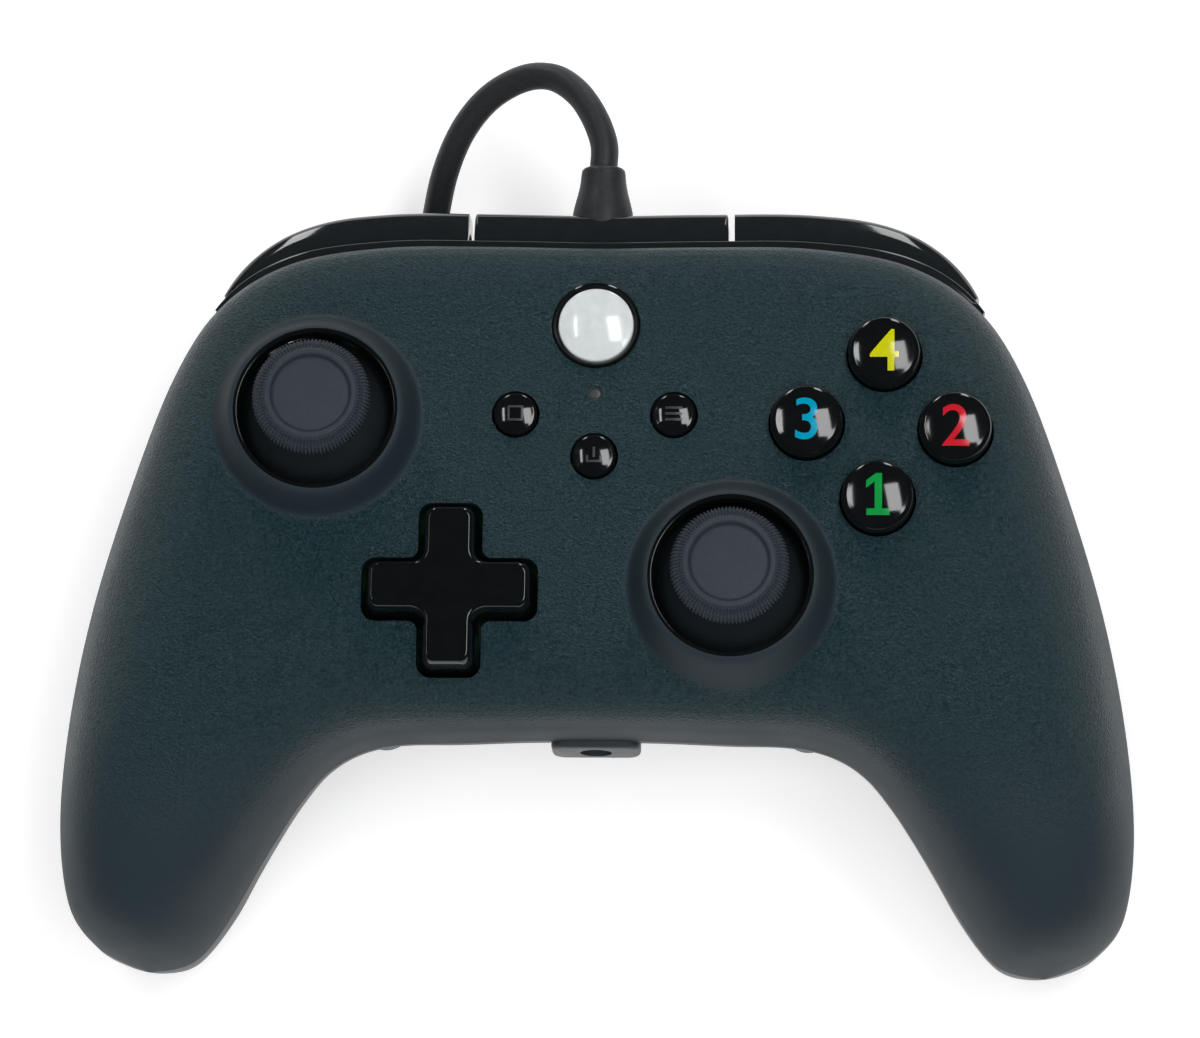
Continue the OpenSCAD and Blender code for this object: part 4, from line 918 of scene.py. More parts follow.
@dataclass
class Shells:
    """Face and belly shells."""

    wall: float = 2.2
    columns: int = 234
    rows: int = 66
    rim_z: float = 51.0
    rim_r: float = 12.2
    wall_slope: float = 2.2
    rim_round: float = 0.4
    foot_round: float = 1.6
    seat_r: float = 11.55
    seat_z: float = 48.45
    well_r: float = 13.65
    well_base: float = 28.0
    fine_from: float = 9.5
    fine_to: float = 16.5
    crater_reach: float = 19.0
    grain_from: float = 14.4
    grain_full: float = 15.2
    bare_y: float = -44.0
    grained_y: float = -22.0
    least_grain: float = 0.12
    steep: float = 0.15
    level: float = 0.55
    home_hole: float = 6.25
    lens_hole: float = 1.1
    screws: tuple[Point, ...] = ((30, -19.5, 23), (60, 2, 11), (62, -40, 1))
    boss_r: float = 3.9
    boss_top: float = 31.0
    head_r: float = 2.7
    pocket: tuple[float, float] = (2.1, 3.77)

    def crater(self, r: float) -> float:
        """Height of a stick's crater at a radius: a flat rim, a rounded shoulder and a straight wall."""
        t = r - self.rim_r
        return self.rim_z - self.wall_slope * (t + math.sqrt(t * t + self.rim_round ** 2)) / 2

    def raise_craters(self, bm: bmesh.types.BMesh) -> None:
        """Draws both craters up out of the face, with a hollow round at their foot.

        Args:
            bm: Skin of the face shell.
        """
        for x, y in STICK_PLACES.values():
            tops = [f for f in bm.faces if f.normal.z > 0.5]
            near = [f for f in tops
                    if self.fine_from < math.dist(f.calc_center_median()[:2], (x, y)) < self.fine_to]
            edges = list({e for f in near for e in f.edges})
            bmesh.ops.subdivide_edges(bm, edges=edges, cuts=4, use_grid_fill=True)
            for v in bm.verts:
                r = math.dist(v.co[:2], (x, y))
                if r > self.crater_reach or v.co.z < CUT_LOW:
                    continue
                high = self.crater(r)
                gap = max(self.foot_round - abs(high - v.co.z), 0.0)
                v.co.z = max(high, v.co.z) + gap * gap / (4 * self.foot_round)

    def well_tool(self, x: float, y: float) -> bmesh.types.BMesh:
        """Tool for one stick's opening: a seat for its ring over a round well.

        Args:
            x: The stick's axis.
            y: The stick's axis.

        Returns:
            The closed tool.
        """
        start = math.degrees(math.acos(MOUTH_R / self.well_r))
        ball = [(r, z + GIMBAL_Z) for r, z in arc(0, 0, self.well_r, start, 0, 10)]
        seat = [(0, CUT_HIGH), (self.seat_r, CUT_HIGH), (self.seat_r, self.seat_z), (MOUTH_R, self.seat_z)]
        return moved(turned([*seat, *ball, (self.well_r, self.well_base), (0, self.well_base)], 96), x, y)

    def face(self) -> bpy.types.Object:
        """Builds the face shell.

        Returns:
            The piece.
        """
        bm = FORM.half_shell(1, self.columns, self.rows)
        self.raise_craters(bm)
        bm.normal_update()
        bmesh.ops.solidify(bm, geom=bm.faces[:], thickness=self.wall)
        tools = [self.well_tool(x, y) for x, y in STICK_PLACES.values()]
        holes = [(ACTION_R + BUTTON_GAP, action_place(name), 72) for name in ACTION_TURNS]
        holes += [(SMALL_R + BUTTON_GAP, place, 56) for place in SMALL_PLACES.values()]
        holes += [(self.home_hole, HOME_PLACE, 80), (self.lens_hole, LENS_PLACE, 32)]
        tools += [rod(r, CUT_LOW, CUT_HIGH, *place, steps) for r, place, steps in holes]
        cross = cross_outline(12.35, 4.5, 1.9, 1.3)
        tools.append(lifted([(CUT_LOW, cross), (CUT_HIGH, cross)]))
        bm = carved(bm, gathered(tools), Cut.REMOVE)
        made = dressed("face_shell", "housing", Slot.FACE, "front_shell").made(bm)
        self.mask_grain(made)
        return even_shading(made)

    def mask_grain(self, made: bpy.types.Object) -> None:
        """Writes how much of the grain each point of the face shows: none on craters, edges and walls.

        Args:
            made: The face shell.
        """
        mesh = made.data
        mask = mesh.attributes.new(GRAIN_MASK, "FLOAT", "POINT")
        for v in mesh.vertices:
            x, y = v.co.x / MM, v.co.y / MM
            share = part_way(y, self.bare_y, self.grained_y, self.least_grain)
            share *= part_way(v.normal.z, self.steep, self.level)
            for place in STICK_PLACES.values():
                share *= part_way(math.dist((x, y), place), self.grain_from, self.grain_full)
            mask.data[v.index].value = share

    def belly(self) -> bpy.types.Object:
        """Builds the belly shell with its openings and screw bosses.

        Returns:
            The piece.
        """
        bm = FORM.half_shell(-1, self.columns, self.rows)
        bmesh.ops.solidify(bm, geom=bm.faces[:], thickness=self.wall)
        screws = [(side.value * x, y, z) for side in Side for x, y, z in self.screws]
        bosses = [rod(self.boss_r, z + 1.1, min(z + 9, self.boss_top), x, y, 40) for x, y, z in screws]
        bm = carved(bm, gathered(bosses), Cut.JOIN)
        tools = [rod(self.head_r, -5, z + 2.8, x, y, 40) for x, y, z in screws]
        pocket: Line = [(4, 33), (4, 4), (-9.5, 4), (-9.5, 33)]
        tools += [FORM.band(*side.span(*self.pocket), 24, pocket) for side in Side]
        bm = carved(bm, gathered(tools), Cut.REMOVE)
        slots = [socket_plate(0.15, 12), lying_rod(4.05, 37, 50, 0, LEAD_Z)]
        bm = carved(bm, gathered(slots), Cut.REMOVE)
        return even_shading(dressed("belly_shell", "housing", Slot.BACK, "back_shell").made(bm))


def lying_rod(radius: float, y0: float, y1: float, x: float, z: float,
              flat: float = 1.0) -> bmesh.types.BMesh:
    """Rod along Y, flattened to a share of its height.

    Args:
        radius: Its radius.
        y0: Where it starts.
        y1: Where it ends.
        x: Its axis.
        z: Its axis.
        flat: Share of its height that it keeps.

    Returns:
        The closed mesh.
    """
    bm = laid_back(rod(radius, y0, y1, 0, 0))
    bmesh.ops.scale(bm, vec=(1, 1, flat), verts=bm.verts)
    return moved(bm, x, 0, z)


SOCKET_FACE = -24.0
SOCKET_Z = 26.1


def socket_plate(grow: float, depth: float) -> bmesh.types.BMesh:
    """Rounded plate of the headset socket, grown all round, from its face inwards.

    Args:
        grow: How far it grows.
        depth: How deep it goes.

    Returns:
        The closed mesh.
    """
    outline = plate_outline(12.6 + 2 * grow, 7.8 + 2 * grow, 2.2)
    bm = laid_back(lifted([(-grow, outline), (depth, outline)]))
    return moved(bm, 0, SOCKET_FACE, SOCKET_Z)


@dataclass
class TopEdge:
    """Gloss band, bridge, bumpers and triggers along the top edge."""

    reach: float = 7.8
    top: float = 35.9
    base: float = 26.6
    inside: float = 1.5
    lip_t: float = 2.2
    bridge_half: float = 18.2
    slot: float = 0.9
    bumper_end: float = 3.86
    lip_ends: tuple[float, float] = (2.25, 3.92)
    trim_reach: float = 2.2
    trim_top: float = 38.4
    trim_base: float = 36.2
    trim_end: float = 4.08
    trim_ends: tuple[float, float] = (2.6, 4.1)
    edge_round: float = 0.35
    pin_y: float = 49.03
    pin_out: float = 4.2
    tab_half: float = 1.7
    tab_t: float = 1.8
    trigger_top: float = 25.9
    trigger_tip: float = 0.6
    trigger_s: tuple[float, float] = (2.16, 3.65)
    trigger_round: float = 0.8
    hub_x: tuple[float, float] = (38.4, 44.9)
    hub_y: float = 38.8
    hub_z: float = 27.5
    hub_r: float = 2.6

    def lip(self) -> Line:
        """Outer line of the bumpers and the bridge, from under the band to the bottom edge.

        Returns:
            Distance outside the edge and height of each point.
        """
        rise = self.top - self.base
        shares = ((0.6, 0.045), (0.8, 0.1), (0.9, 0.16), (0.96, 0.26), (0.99, 0.4), (1.0, 0.62), (0.97, 1.0))
        line = [(self.inside, self.top)] + [(n * self.reach, self.top - z * rise) for n, z in shares]
        return smooth_line(line, 4)

    def lip_back(self) -> Line:
        """Inner line of a bumper, from its bottom edge up.

        Returns:
            Distance outside the edge and height of each point.
        """
        rise = self.top - self.base
        shares = ((0.68, 1.0), (0.7, 0.78), (0.68, 0.6), (0.64, 0.46), (0.58, 0.38), (0.5, 0.3))
        line = [(n * self.reach, self.top - z * rise) for n, z in shares]
        return line + [(0.4 * self.reach, self.top - 1.1 * self.lip_t), (self.inside, self.top - self.lip_t)]

    def trim(self) -> bpy.types.Object:
        """Builds the gloss band.

        Returns:
            The piece.
        """
        corner = arc(self.trim_reach - 0.4, self.trim_top - 0.4, 0.4, 90, 0, 4)
        profile = [(0.2, self.trim_top), *corner, (self.trim_reach, self.trim_base), (0.2, self.trim_base)]
        bm = FORM.band(-self.trim_end, self.trim_end, 132, profile, 0.35, self.trim_ends)
        return Piece("gloss_band", "housing", EDGE_BLACK_PAINTED_SHEEN, ("top_trim",), Slot.GLOSS).made(bm)

    def bridge(self) -> bpy.types.Object:
        """Builds the bridge with the tabs and pins that carry the bumpers.

        Returns:
            The piece.
        """
        end = FORM.edge_s(self.bridge_half)
        profile = self.lip() + [(0.2, self.base), (0.2, self.top)]
        bm = FORM.band(-end, end, 36, profile)
        rounded_edges(bm, self.end_edges(bm), self.edge_round, 3)
        bm = carved(bm, lying_rod(4.5, 44, 58, 0, LEAD_Z, flat=0.88), Cut.REMOVE)
        pin_x = self.bridge_half + self.pin_out
        near, far = self.pin_y - self.tab_half, self.pin_y + self.tab_half
        deck = self.base + self.tab_t
        parts = [bm]
        for side in Side:
            x0, x1 = side.span(self.bridge_half - 1, self.bridge_half + 6)
            parts.append(box((x0, near, self.base), (x1, far, deck)))
            parts.append(rod(1.0, deck, self.base + 6, side.value * pin_x, self.pin_y, 24))
        return Piece("top_bridge_cover", "housing", EDGE_BLACK_PAINTED_SHEEN, ("top_bridge",), Slot.GLOSS).made(gathered(parts))

    def end_edges(self, bm: bmesh.types.BMesh) -> list[bmesh.types.BMEdge]:
        """Edges round the end faces of a band."""
        caps = [f for f in bm.faces if len(f.verts) > 6]
        return list({e for f in caps for e in f.edges})

    def bumper(self, side: Side) -> bpy.types.Object:
        """Builds one bumper.

        Args:
            side: Its hand.

        Returns:
            The piece.
        """
        start = FORM.edge_s(self.bridge_half + self.slot)
        profile = self.lip() + self.lip_back()
        bm = FORM.band(*side.span(start, self.bumper_end), 84, profile, self.inside, self.lip_ends)
        rounded_edges(bm, self.end_edges(bm), self.edge_round, 3)
        name = f"bumper_{side.word}"
        return Piece(f"{name}_cover", name, EDGE_BLACK_PAINTED_SHEEN, (name,), Slot.GLOSS).made(bm)

    def trigger(self, side: Side) -> bpy.types.Object:
        """Builds one trigger: its swept paddle and the hub on its pin.

        Args:
            side: Its hand.

        Returns:
            The piece.
        """
        top, rise = self.trigger_top, self.trigger_top - self.trigger_tip
        front = [(5.6, 0), (6.4, 0.2), (7, 0.45), (7.5, 0.68), (8.4, 0.86), (10, 0.976), (9.6, 1.0)]
        back = [(8.2, 1.0), (7.5, 0.976), (5.6, 0.86), (3.2, 0.68), (0.4, 0.45), (-2.6, 0.2), (2.2, 0)]
        lines = [smooth_line([(n, top - z * rise) for n, z in part], 4) for part in (front, back)]
        bm = FORM.band(*side.span(*self.trigger_s), 40, lines[0] + lines[1], 0.0, self.lip_ends)
        rounded_edges(bm, self.end_edges(bm), self.trigger_round, 3)
        x0, x1 = side.span(*self.hub_x)
        hub = rod(self.hub_r, x0, x1, 0, 0, 40)
        bmesh.ops.rotate(hub, cent=(0, 0, 0), matrix=Matrix.Rotation(math.pi / 2, 3, "Y"), verts=hub.verts)
        arm = box((x0, self.hub_y - 2, self.hub_z - 5.6), (x1, self.hub_y + 4, self.hub_z - 0.6))
        parts = [bm, moved(hub, 0, self.hub_y, self.hub_z), arm]
        name = f"trigger_{side.word}"
        return dressed(f"{name}_paddle", name, Slot.TRIGGER, name).made(gathered(parts))

    def build(self) -> None:
        """Builds every piece of the top edge."""
        self.trim()
        self.bridge()
        for side in Side:
            self.bumper(side)
            self.trigger(side)


@dataclass
class ThumbStick:
    """One stick: ring in the crater, dome under it and ribbed cap."""

    side: Side
    ring_round: float = 0.22
    ring_out: float = 11.5
    ring_top: float = 50.8
    ring_base: float = 48.5
    dome_r: float = 13.2
    dome_t: float = 1.2
    neck_r: float = 4.2
    cap_r: float = 8.3
    cap_base: float = 54.2
    cap_top: float = 59.0
    ribs_from: float = 6.3
    ribs: int = 96
    rib_depth: float = 0.42
    row_mm: float = 0.55
    rib_steps: int = 6

    def ring(self) -> bpy.types.Object:
        """Builds the gloss ring in the crater's mouth.

        Returns:
            The piece.
        """
        lip = arc(MOUTH_R + self.ring_round, self.ring_top - self.ring_round, self.ring_round, 180, 90, 4)
        outside = [(self.ring_out, self.ring_top), (self.ring_out, self.ring_base)]
        profile = [(MOUTH_R, self.ring_base), *lip, *outside]
        bm = moved(turned(profile, 120, closed=True), *STICK_PLACES[self.side])
        name = f"stick_ring_{self.side.word}"
        return dressed(f"{name}_lip", "housing", Slot.GLOSS, name).made(bm)

    def dome(self) -> bpy.types.Object:
        """Builds the dome with its waisted neck.

        Returns:
            The piece.
        """
        outer = [(r, z + GIMBAL_Z) for r, z in arc(0, 0, self.dome_r, 20, 64, 18)]
        inner = [(r, z + GIMBAL_Z) for r, z in arc(0, 0, self.dome_r - self.dome_t, 78, 20, 14)]
        r = self.neck_r
        neck = [(0, 55.5), (r, 55.5), (r, 53.0), (r + 0.1, 52.0), (r + 0.5, 51.3)]
        bm = turned([*neck, *outer[::-1], *inner[::-1], (0, 50.2)], 120)
        bm = moved(bm, *STICK_PLACES[self.side])
        name = f"thumb_dome_{self.side.word}"
        return Piece(f"{name}_skirt", f"stick_{self.side.word}", SATIN, (name,), Slot.GLOSS).made(bm)

    def cap(self) -> bpy.types.Object:
        """Builds the cap, with ribs pressed into its rim and side.

        Returns:
            The piece.
        """
        r, top, base = self.cap_r, self.cap_top, self.cap_base
        drops = ((0, .42), (2.8, .42), (5, .42), (5.28, .46), (5.36, .6), (5.42, .6), (5.48, .4),
                 (5.6, .14), (5.85, 0))
        crown = [(x, top - drop) for x, drop in drops]
        drops = ((5.85, 0), (6.3, .03), (6.8, .16), (7.6, .62), (8.12, 1.35), (r, 2.1))
        slope = smooth_line([(x, top - drop) for x, drop in drops], 8)
        skirt = [(r, top - 2.6), (r - 0.1, top - 2.8), (r - 0.4, top - 3.0), (r - 3.2, base + 0.05)]
        skirt += [(r - 3.4, base), (4.25, base), (4.25, base + 1.3), (0, base + 1.3)]
        bm = turned(crown + slope[1:] + skirt, self.ribs * self.rib_steps)
        for v in bm.verts:
            self.press_rib(v)
        bm = moved(bm, *STICK_PLACES[self.side])
        name = f"thumb_cap_{self.side.word}"
        piece = dressed(f"{name}_grip", f"stick_{self.side.word}", Slot.CAP, name)
        piece.crease_deg = 60.0
        return piece.made(bm)

    def press_rib(self, v: bmesh.types.BMVert) -> None:
        """Sinks a point of the rim between two ribs.

        Args:
            v: The point.
        """
        r = math.hypot(v.co.x, v.co.y)
        drop = self.cap_top - v.co.z
        if r < self.ribs_from or drop > 2.95:
            return
        turn = math.atan2(v.co.y, v.co.x)
        wave = 0.5 - 0.5 * math.cos(self.ribs * turn)
        along = math.hypot(r - self.ribs_from, drop)
        row = 0.5 - 0.5 * math.cos(math.tau * along / self.row_mm)
        wave = max(wave, 0.85 * row) if drop < 2.0 else wave
        sink = self.rib_depth * wave * part_way(r, self.ribs_from, self.ribs_from + 0.5)
        steep = part_way(drop, 0.0, 1.6, 0.15)
        share = (r - sink * steep) / r
        v.co.x *= share
        v.co.y *= share
        v.co.z -= sink * (1 - steep)

    def build(self) -> None:
        """Builds the stick's pieces."""
        self.ring()
        self.dome()
        self.cap()


@dataclass
class RoundButton:
    """A domed button in its hole."""

    name: str
    place: tuple[float, float]
    radius: float
    rise: float
    dome: float
    slot: Slot = Slot.GLOSS
    edge: float = 0.8
    face_z: float = FORM.face_z
    collar: float = 0.7
    steps: int = 72

    @property
    def top(self) -> float:
        """Height of the dome's middle."""
        return self.face_z + self.rise

    def crown(self, r: float) -> float:
        """Height of the dome at a radius."""
        return self.top - self.dome * (r / (self.radius - self.edge)) ** 2

    def profile(self) -> Line:
        """Line from the dome's middle to the stem's foot.

        Returns:
            Radius and height of each point.
        """
        inner = self.radius - self.edge
        domed = [(inner * k / 9, self.crown(inner * k / 9)) for k in range(10)]
        low = self.crown(inner) - self.edge
        shoulder = [(inner + self.edge * math.sin(a), low + self.edge * math.cos(a))
                    for a in (math.radians(d) for d in (25, 45, 65, 90))]
        r, z = self.radius, self.face_z - 5.5
        foot = [(r, z + 1.2), (r + self.collar, z + 1.2), (r + self.collar, z), (r * 0.5, z)]
        return domed + shoulder + foot + [(r * 0.5, 35.7), (0, 35.7)]

    def build(self) -> bpy.types.Object:
        """Builds the button."""
        bm = moved(turned(self.profile(), self.steps), *self.place)
        return dressed(f"{self.name}_cap", self.name, self.slot, self.name).made(bm)

    def inlay(self, bm: bmesh.types.BMesh, label: str, finish: Finish, proud: float) -> bpy.types.Object:
        """Lays a flat mark on the dome.

        Args:
            bm: The mark about the origin, flat at height 0, which is freed.
            label: What the mark is called.
            finish: Its finish.
            proud: How far it stands over the dome.

        Returns:
            The piece.
        """
        bmesh.ops.triangulate(bm, faces=bm.faces)
        for _ in range(2):
            long = [e for e in bm.edges if e.calc_length() > 0.5]
            bmesh.ops.subdivide_edges(bm, edges=long, cuts=1)
            bmesh.ops.triangulate(bm, faces=bm.faces)
        sunk = bmesh.ops.extrude_face_region(bm, geom=bm.faces[:])
        low = {v for v in sunk["geom"] if isinstance(v, bmesh.types.BMVert)}
        for v in bm.verts:
            v.co.z = self.crown(math.hypot(v.co.x, v.co.y)) + (proud if v not in low else -0.15)
        bmesh.ops.recalc_face_normals(bm, faces=bm.faces)
        return Piece(f"{self.name}_{label}", self.name, finish).made(moved(bm, *self.place))


def numeral(text: str, height: float) -> bmesh.types.BMesh:
    """Flat figure about the origin.

    Args:
        text: The figure.
        height: Its height.

    Returns:
        Its flat mesh at height 0.
    """
    curve = bpy.data.curves.new("figure", "FONT")
    curve.body = text
    curve.offset = 0.006
    made = linked("figure", curve)
    bm = worked_out(made)
    bpy.data.objects.remove(made)
    bpy.data.curves.remove(curve)
    bmesh.ops.remove_doubles(bm, verts=bm.verts, dist=1e-5)
    low = [min(v.co[k] for v in bm.verts) for k in (0, 1)]
    high = [max(v.co[k] for v in bm.verts) for k in (0, 1)]
    scale = height / (high[1] - low[1])
    bmesh.ops.translate(bm, vec=(-(low[0] + high[0]) / 2, -(low[1] + high[1]) / 2, 0), verts=bm.verts)
    bmesh.ops.scale(bm, vec=(scale, scale, 1), verts=bm.verts)
    return bm


def figure_one(height: float) -> bmesh.types.BMesh:
    """Flat figure one about the origin, with a flag and a foot.

    Args:
        height: Its height.

    Returns:
        Its flat mesh at height 0.
    """
    line = ((-.26, -.5), (.28, -.5), (.28, -.35), (.1, -.35), (.1, .5), (-.04, .5), (-.27, .32), (-.27, .14),
            (-.07, .29), (-.07, -.35), (-.26, -.35))
    bm = bmesh.new()
    bm.faces.new([bm.verts.new((x * height, y * height, 0)) for x, y in line])
    bm.normal_update()
    return bm


def bars(rects: list[tuple[float, float, float, float]]) -> bmesh.types.BMesh:
    """Flat bars about the origin, each by its centre and its two sides.

    Args:
        rects: Centre and sides of each bar.

    Returns:
        Their flat mesh at height 0.
    """
    bm = bmesh.new()
    for x, y, w, h in rects:
        place = Matrix.Translation((x, y, 0)) @ Matrix.Diagonal((w / 2, h / 2, 1, 1))
        bmesh.ops.create_grid(bm, x_segments=6, y_segments=1, size=1.0, matrix=place)
    return bm


@dataclass
class Face:
    """Buttons, lens and direction pad on the face."""

    figures: tuple[tuple[str, str], ...] = (("button_south", "1"), ("button_east", "2"), ("button_west", "3"),
                                            ("button_north", "4"))
    figure_h: float = 6.0
    pad_half: float = 11.6
    pad_arm: float = 3.75
    pad_top: float = 49.3

    def actions(self) -> None:
        """Builds the four action buttons with their figures."""
        for name, text in self.figures:
            button = RoundButton(name, action_place(name), ACTION_R, 3.2, 0.6)
            button.build()
            figure = figure_one(self.figure_h) if text == "1" else numeral(text, self.figure_h)
            button.inlay(figure, "figure", INKS[text], 0.02)

    def smalls(self) -> None:
        """Builds the three small buttons with their raised marks."""
        frame_bars = [(0, 0.95, 2.2, 0.3), (0, -0.95, 2.2, 0.3), (-0.95, 0, 0.3, 1.6), (0.95, 0, 0.3, 1.6)]
        marks = {
            "button_select": frame_bars,
            "button_menu": [(0, k, 2.4, 0.32) for k in (-0.85, 0.0, 0.85)],
            "button_share": [(0, -0.9, 2.2, 0.3), (-0.95, -0.4, 0.3, 0.7), (0.95, -0.4, 0.3, 0.7),
                             (0, 0.4, 0.34, 1.5)],
        }
        for name, place in SMALL_PLACES.items():
            button = RoundButton(name, place, SMALL_R, 0.9, 0.4, edge=0.45, steps=56)
            button.build()
            button.inlay(bars(marks[name]), "mark", MARK, 0.03)

    def home(self) -> None:
        """Builds the home button, its bezel and the status lens."""
        RoundButton("button_home", HOME_PLACE, 5.3, 1.3, 0.9, Slot.PEARL, edge=0.35, collar=0.5,
                    steps=96).build()
        bezel = [(5.63, 42), (5.63, 46), (5.78, 46.28), (5.95, 46.3), (6.12, 46.18), (6.2, 45.9), (6.2, 42)]
        made = moved(turned(bezel, 120, closed=True), *HOME_PLACE)
        dressed("home_bezel_ring", "housing", Slot.GLOSS, "home_bezel").made(made)
        lens = [(0, 45.86), (.55, 45.84), (.72, 45.8), (.8, 45.7), (.88, 45.86), (1, 45.9), (1.05, 45.84)]
        made = moved(turned([*lens, (1.05, 32.7), (0, 32.7)], 40), *LENS_PLACE)
        dressed("status_lens_cap", "housing", Slot.LENS, "status_lens").made(made)

    def pad(self) -> bpy.types.Object:
        """Builds the direction pad: flared walls, a rounded edge and a flat plateau.

        Returns:
            The piece.
        """
        half, arm, top = self.pad_half, self.pad_arm, self.pad_top
        steps = [(38.8, 0), (44, 0), (46.4, .05), (48, .3), (48.7, .48), (49, .58), (49.18, .7),
                 (49.27, .84), (top, 1)]
        rings = [(z, cross_outline(half - d, arm - d * 1.05, 1.5 - d * 0.2, 1.8 + d * 0.5)) for z, d in steps]
        return even_shading(dressed("direction_pad", "dpad", Slot.GLOSS, "dpad_cap").made(lifted(rings)))

    def build(self) -> None:
        """Builds everything that is pressed on the face."""
        self.actions()
        self.smalls()
        self.home()
        self.pad()


@dataclass
class Socket:
    """Headset socket in the bottom edge."""

    bore_r: float = 1.8

    def build(self) -> None:
        """Builds the socket's plate with its stepped bore, and the block behind it."""
        bm = socket_plate(0.0, 9.0)
        front = [e for e in bm.edges if all(v.co.y < SOCKET_FACE + 0.01 for v in e.verts)]
        rounded_edges(bm, front, 0.7, 4)
        for r, depth in ((self.bore_r + 0.45, 0.6), (self.bore_r, 8.4)):
            bore = lying_rod(r, SOCKET_FACE - 1, SOCKET_FACE + depth, 0, SOCKET_Z)
            bm = carved(bm, bore, Cut.REMOVE)
        block = box((-4.5, SOCKET_FACE + 8.9, SOCKET_Z - 2.5), (4.5, SOCKET_FACE + 17.6, 30.9))
        dressed("socket_plate", "housing", Slot.JACK, "audio_jack").made(gathered([bm, block]))


# Lead


@dataclass
class Lead:
    """The lead: boot, run over the top edge, coil under the belly and tail to the plug."""

    radius: float = 2.0
    exit: Point = (0.0, 60.7, LEAD_Z)
    turns: float = 5.75
    pitch: float = 4.45
    coil_r: float = 36.1
    coil_y: float = 20.5
    coil_z: float = 2.7
    start_deg: float = 155.0
    steps: int = 40
    straight: float = 4.0
    length_m: float = 1.8

    def coil_point(self, turn: float) -> Vector:
        """Point of the coil after some turns: in on the table, up a layer and out again.

        Args:
            turn: Turns from the start.

        Returns:
            The point in millimetres.
        """
        back = abs(turn - self.turns)
        r = self.coil_r - self.pitch * (self.turns - back)
        a = math.radians(self.start_deg + 360 * turn)
        q = part_way(turn, self.turns - 0.25, self.turns + 0.25)
        z = self.coil_z + self.pitch * q * q * (3 - 2 * q)
        return Vector((r * math.cos(a), self.coil_y + r * math.sin(a), z))

    def route(self, stops: list[Vector], first: Vector, last: Vector, per: int) -> list[Vector]:
        """Smooth line through stops with its end directions held.

        Args:
            stops: Points on the way.
            first: Direction at the start.
            last: Direction at the end.
            per: Steps from stop to stop.

        Returns:
            The points of the line.
        """
        before = stops[1] - 2 * (stops[1] - stops[0]).length * first
        after = stops[-2] + 2 * (stops[-1] - stops[-2]).length * last
        full = [before, *stops, after]
        made = [Vector(blend4(*column, j / per) for column in zip(*full[i:i + 4]))
                for i in range(len(stops) - 1) for j in range(per)]
        return made + [stops[-1]]

    def line(self) -> list[Vector]:
        """The whole centreline, from the boot to the plug.

        Returns:
            Its points in millimetres.
        """
        count = round(2 * self.turns * self.steps)
        coil = [self.coil_point(k / self.steps) for k in range(count + 1)]
        into = (self.coil_point(0.004) - coil[0]).normalized()
        out = (coil[-1] - self.coil_point(2 * self.turns - 0.004)).normalized()
        first, last = coil[0] - self.straight * into, coil[-1] + self.straight * out
        over = [self.exit, (0, 64.5, 31), (-1.6, 69, 30.2), (-4.2, 73, 29), (-7.8, 75.7, 27.4),
                (-12.2, 76.1, 25.4), (-17.2, 74, 22.8), (-21.2, 70, 19.6), (-24, 64.5, 15.8),
                (-25.7, 58, 11.6), (-27, 52, 8), (-29, 46, 5.2)]
        tail = [(35.8, 15, 8.8), (34.6, 23, 11.4), (29.6, 31, 13.6), (21.6, 36, 14.5), (13, 37, 14.6)]
        run = self.route([*map(Vector, over), first], Vector((0, 1, 0)), into, 6)
        end = self.route([last, *map(Vector, tail)], out, Vector((-1, 0, 0)), 6)
        return run[:-1] + [first] + coil + end

    def cord(self) -> bpy.types.Object:
        """Returns:
            The piece.
        """
        points = self.line()
        curve = bpy.data.curves.new("lead_cord", "CURVE")
        curve.dimensions = "3D"
        curve.bevel_depth = self.radius * MM
        curve.bevel_resolution = 5
        curve.use_fill_caps = True
        spline = curve.splines.new("POLY")
        spline.points.add(len(points) - 1)
        for knot, p in zip(spline.points, points):
            knot.co = (*(p * MM), 1.0)
        spline.use_smooth = True
        made = linked("lead_cord", curve)
        piece = dressed("lead_cord", "housing", Slot.CORD, "cord_run", "cord_coil", "cord_tail")
        piece.placed(made)
        return made

    def boot(self) -> bpy.types.Object:
        """Builds the tapered boot at the exit.

        Returns:
            The piece.
        """
        taper = [(4.35, 52.6), (4.3, 54), (3.95, 55.6), (3.55, 57.2), (3.3, 58.6), (3.18, 59.9)]
        inside = [(0, 37.5), (5.2, 37.5), (5.2, 39.1), (3.9, 39.1), (3.9, 46), (4.35, 46)]
        end = [(3.1, 60.35), (2.85, 60.6), (2.4, 60.7), (0, 60.7)]
        bm = laid_back(turned([*inside, *smooth_line(taper, 4), *end], 64))
        bmesh.ops.scale(bm, vec=(1, 1, 0.87), verts=bm.verts)
        return dressed("lead_boot", "housing", Slot.CORD, "strain_relief").made(moved(bm, 0, 0, LEAD_Z))

    def build(self) -> None:
        """Builds the cord and its boot."""
        self.cord()
        self.boot()


def dress_nodes() -> None:
    """Gives every node that still shows the finish of its slot."""
    slots = {s.value: s for s in Slot}
    for part in frame["record"]["subparts"]:
        node = frame["nodes"][part["node"]]
        if node.hide_render:
            continue
        finish = FINISHES[slots[part["material_slot"]]]
        if not node.material_slots:
            node.data.materials.append(None)
        for place in node.material_slots:
            place.material = finish.material()
        log.info("%s keeps its solid", node.name)


# Studio


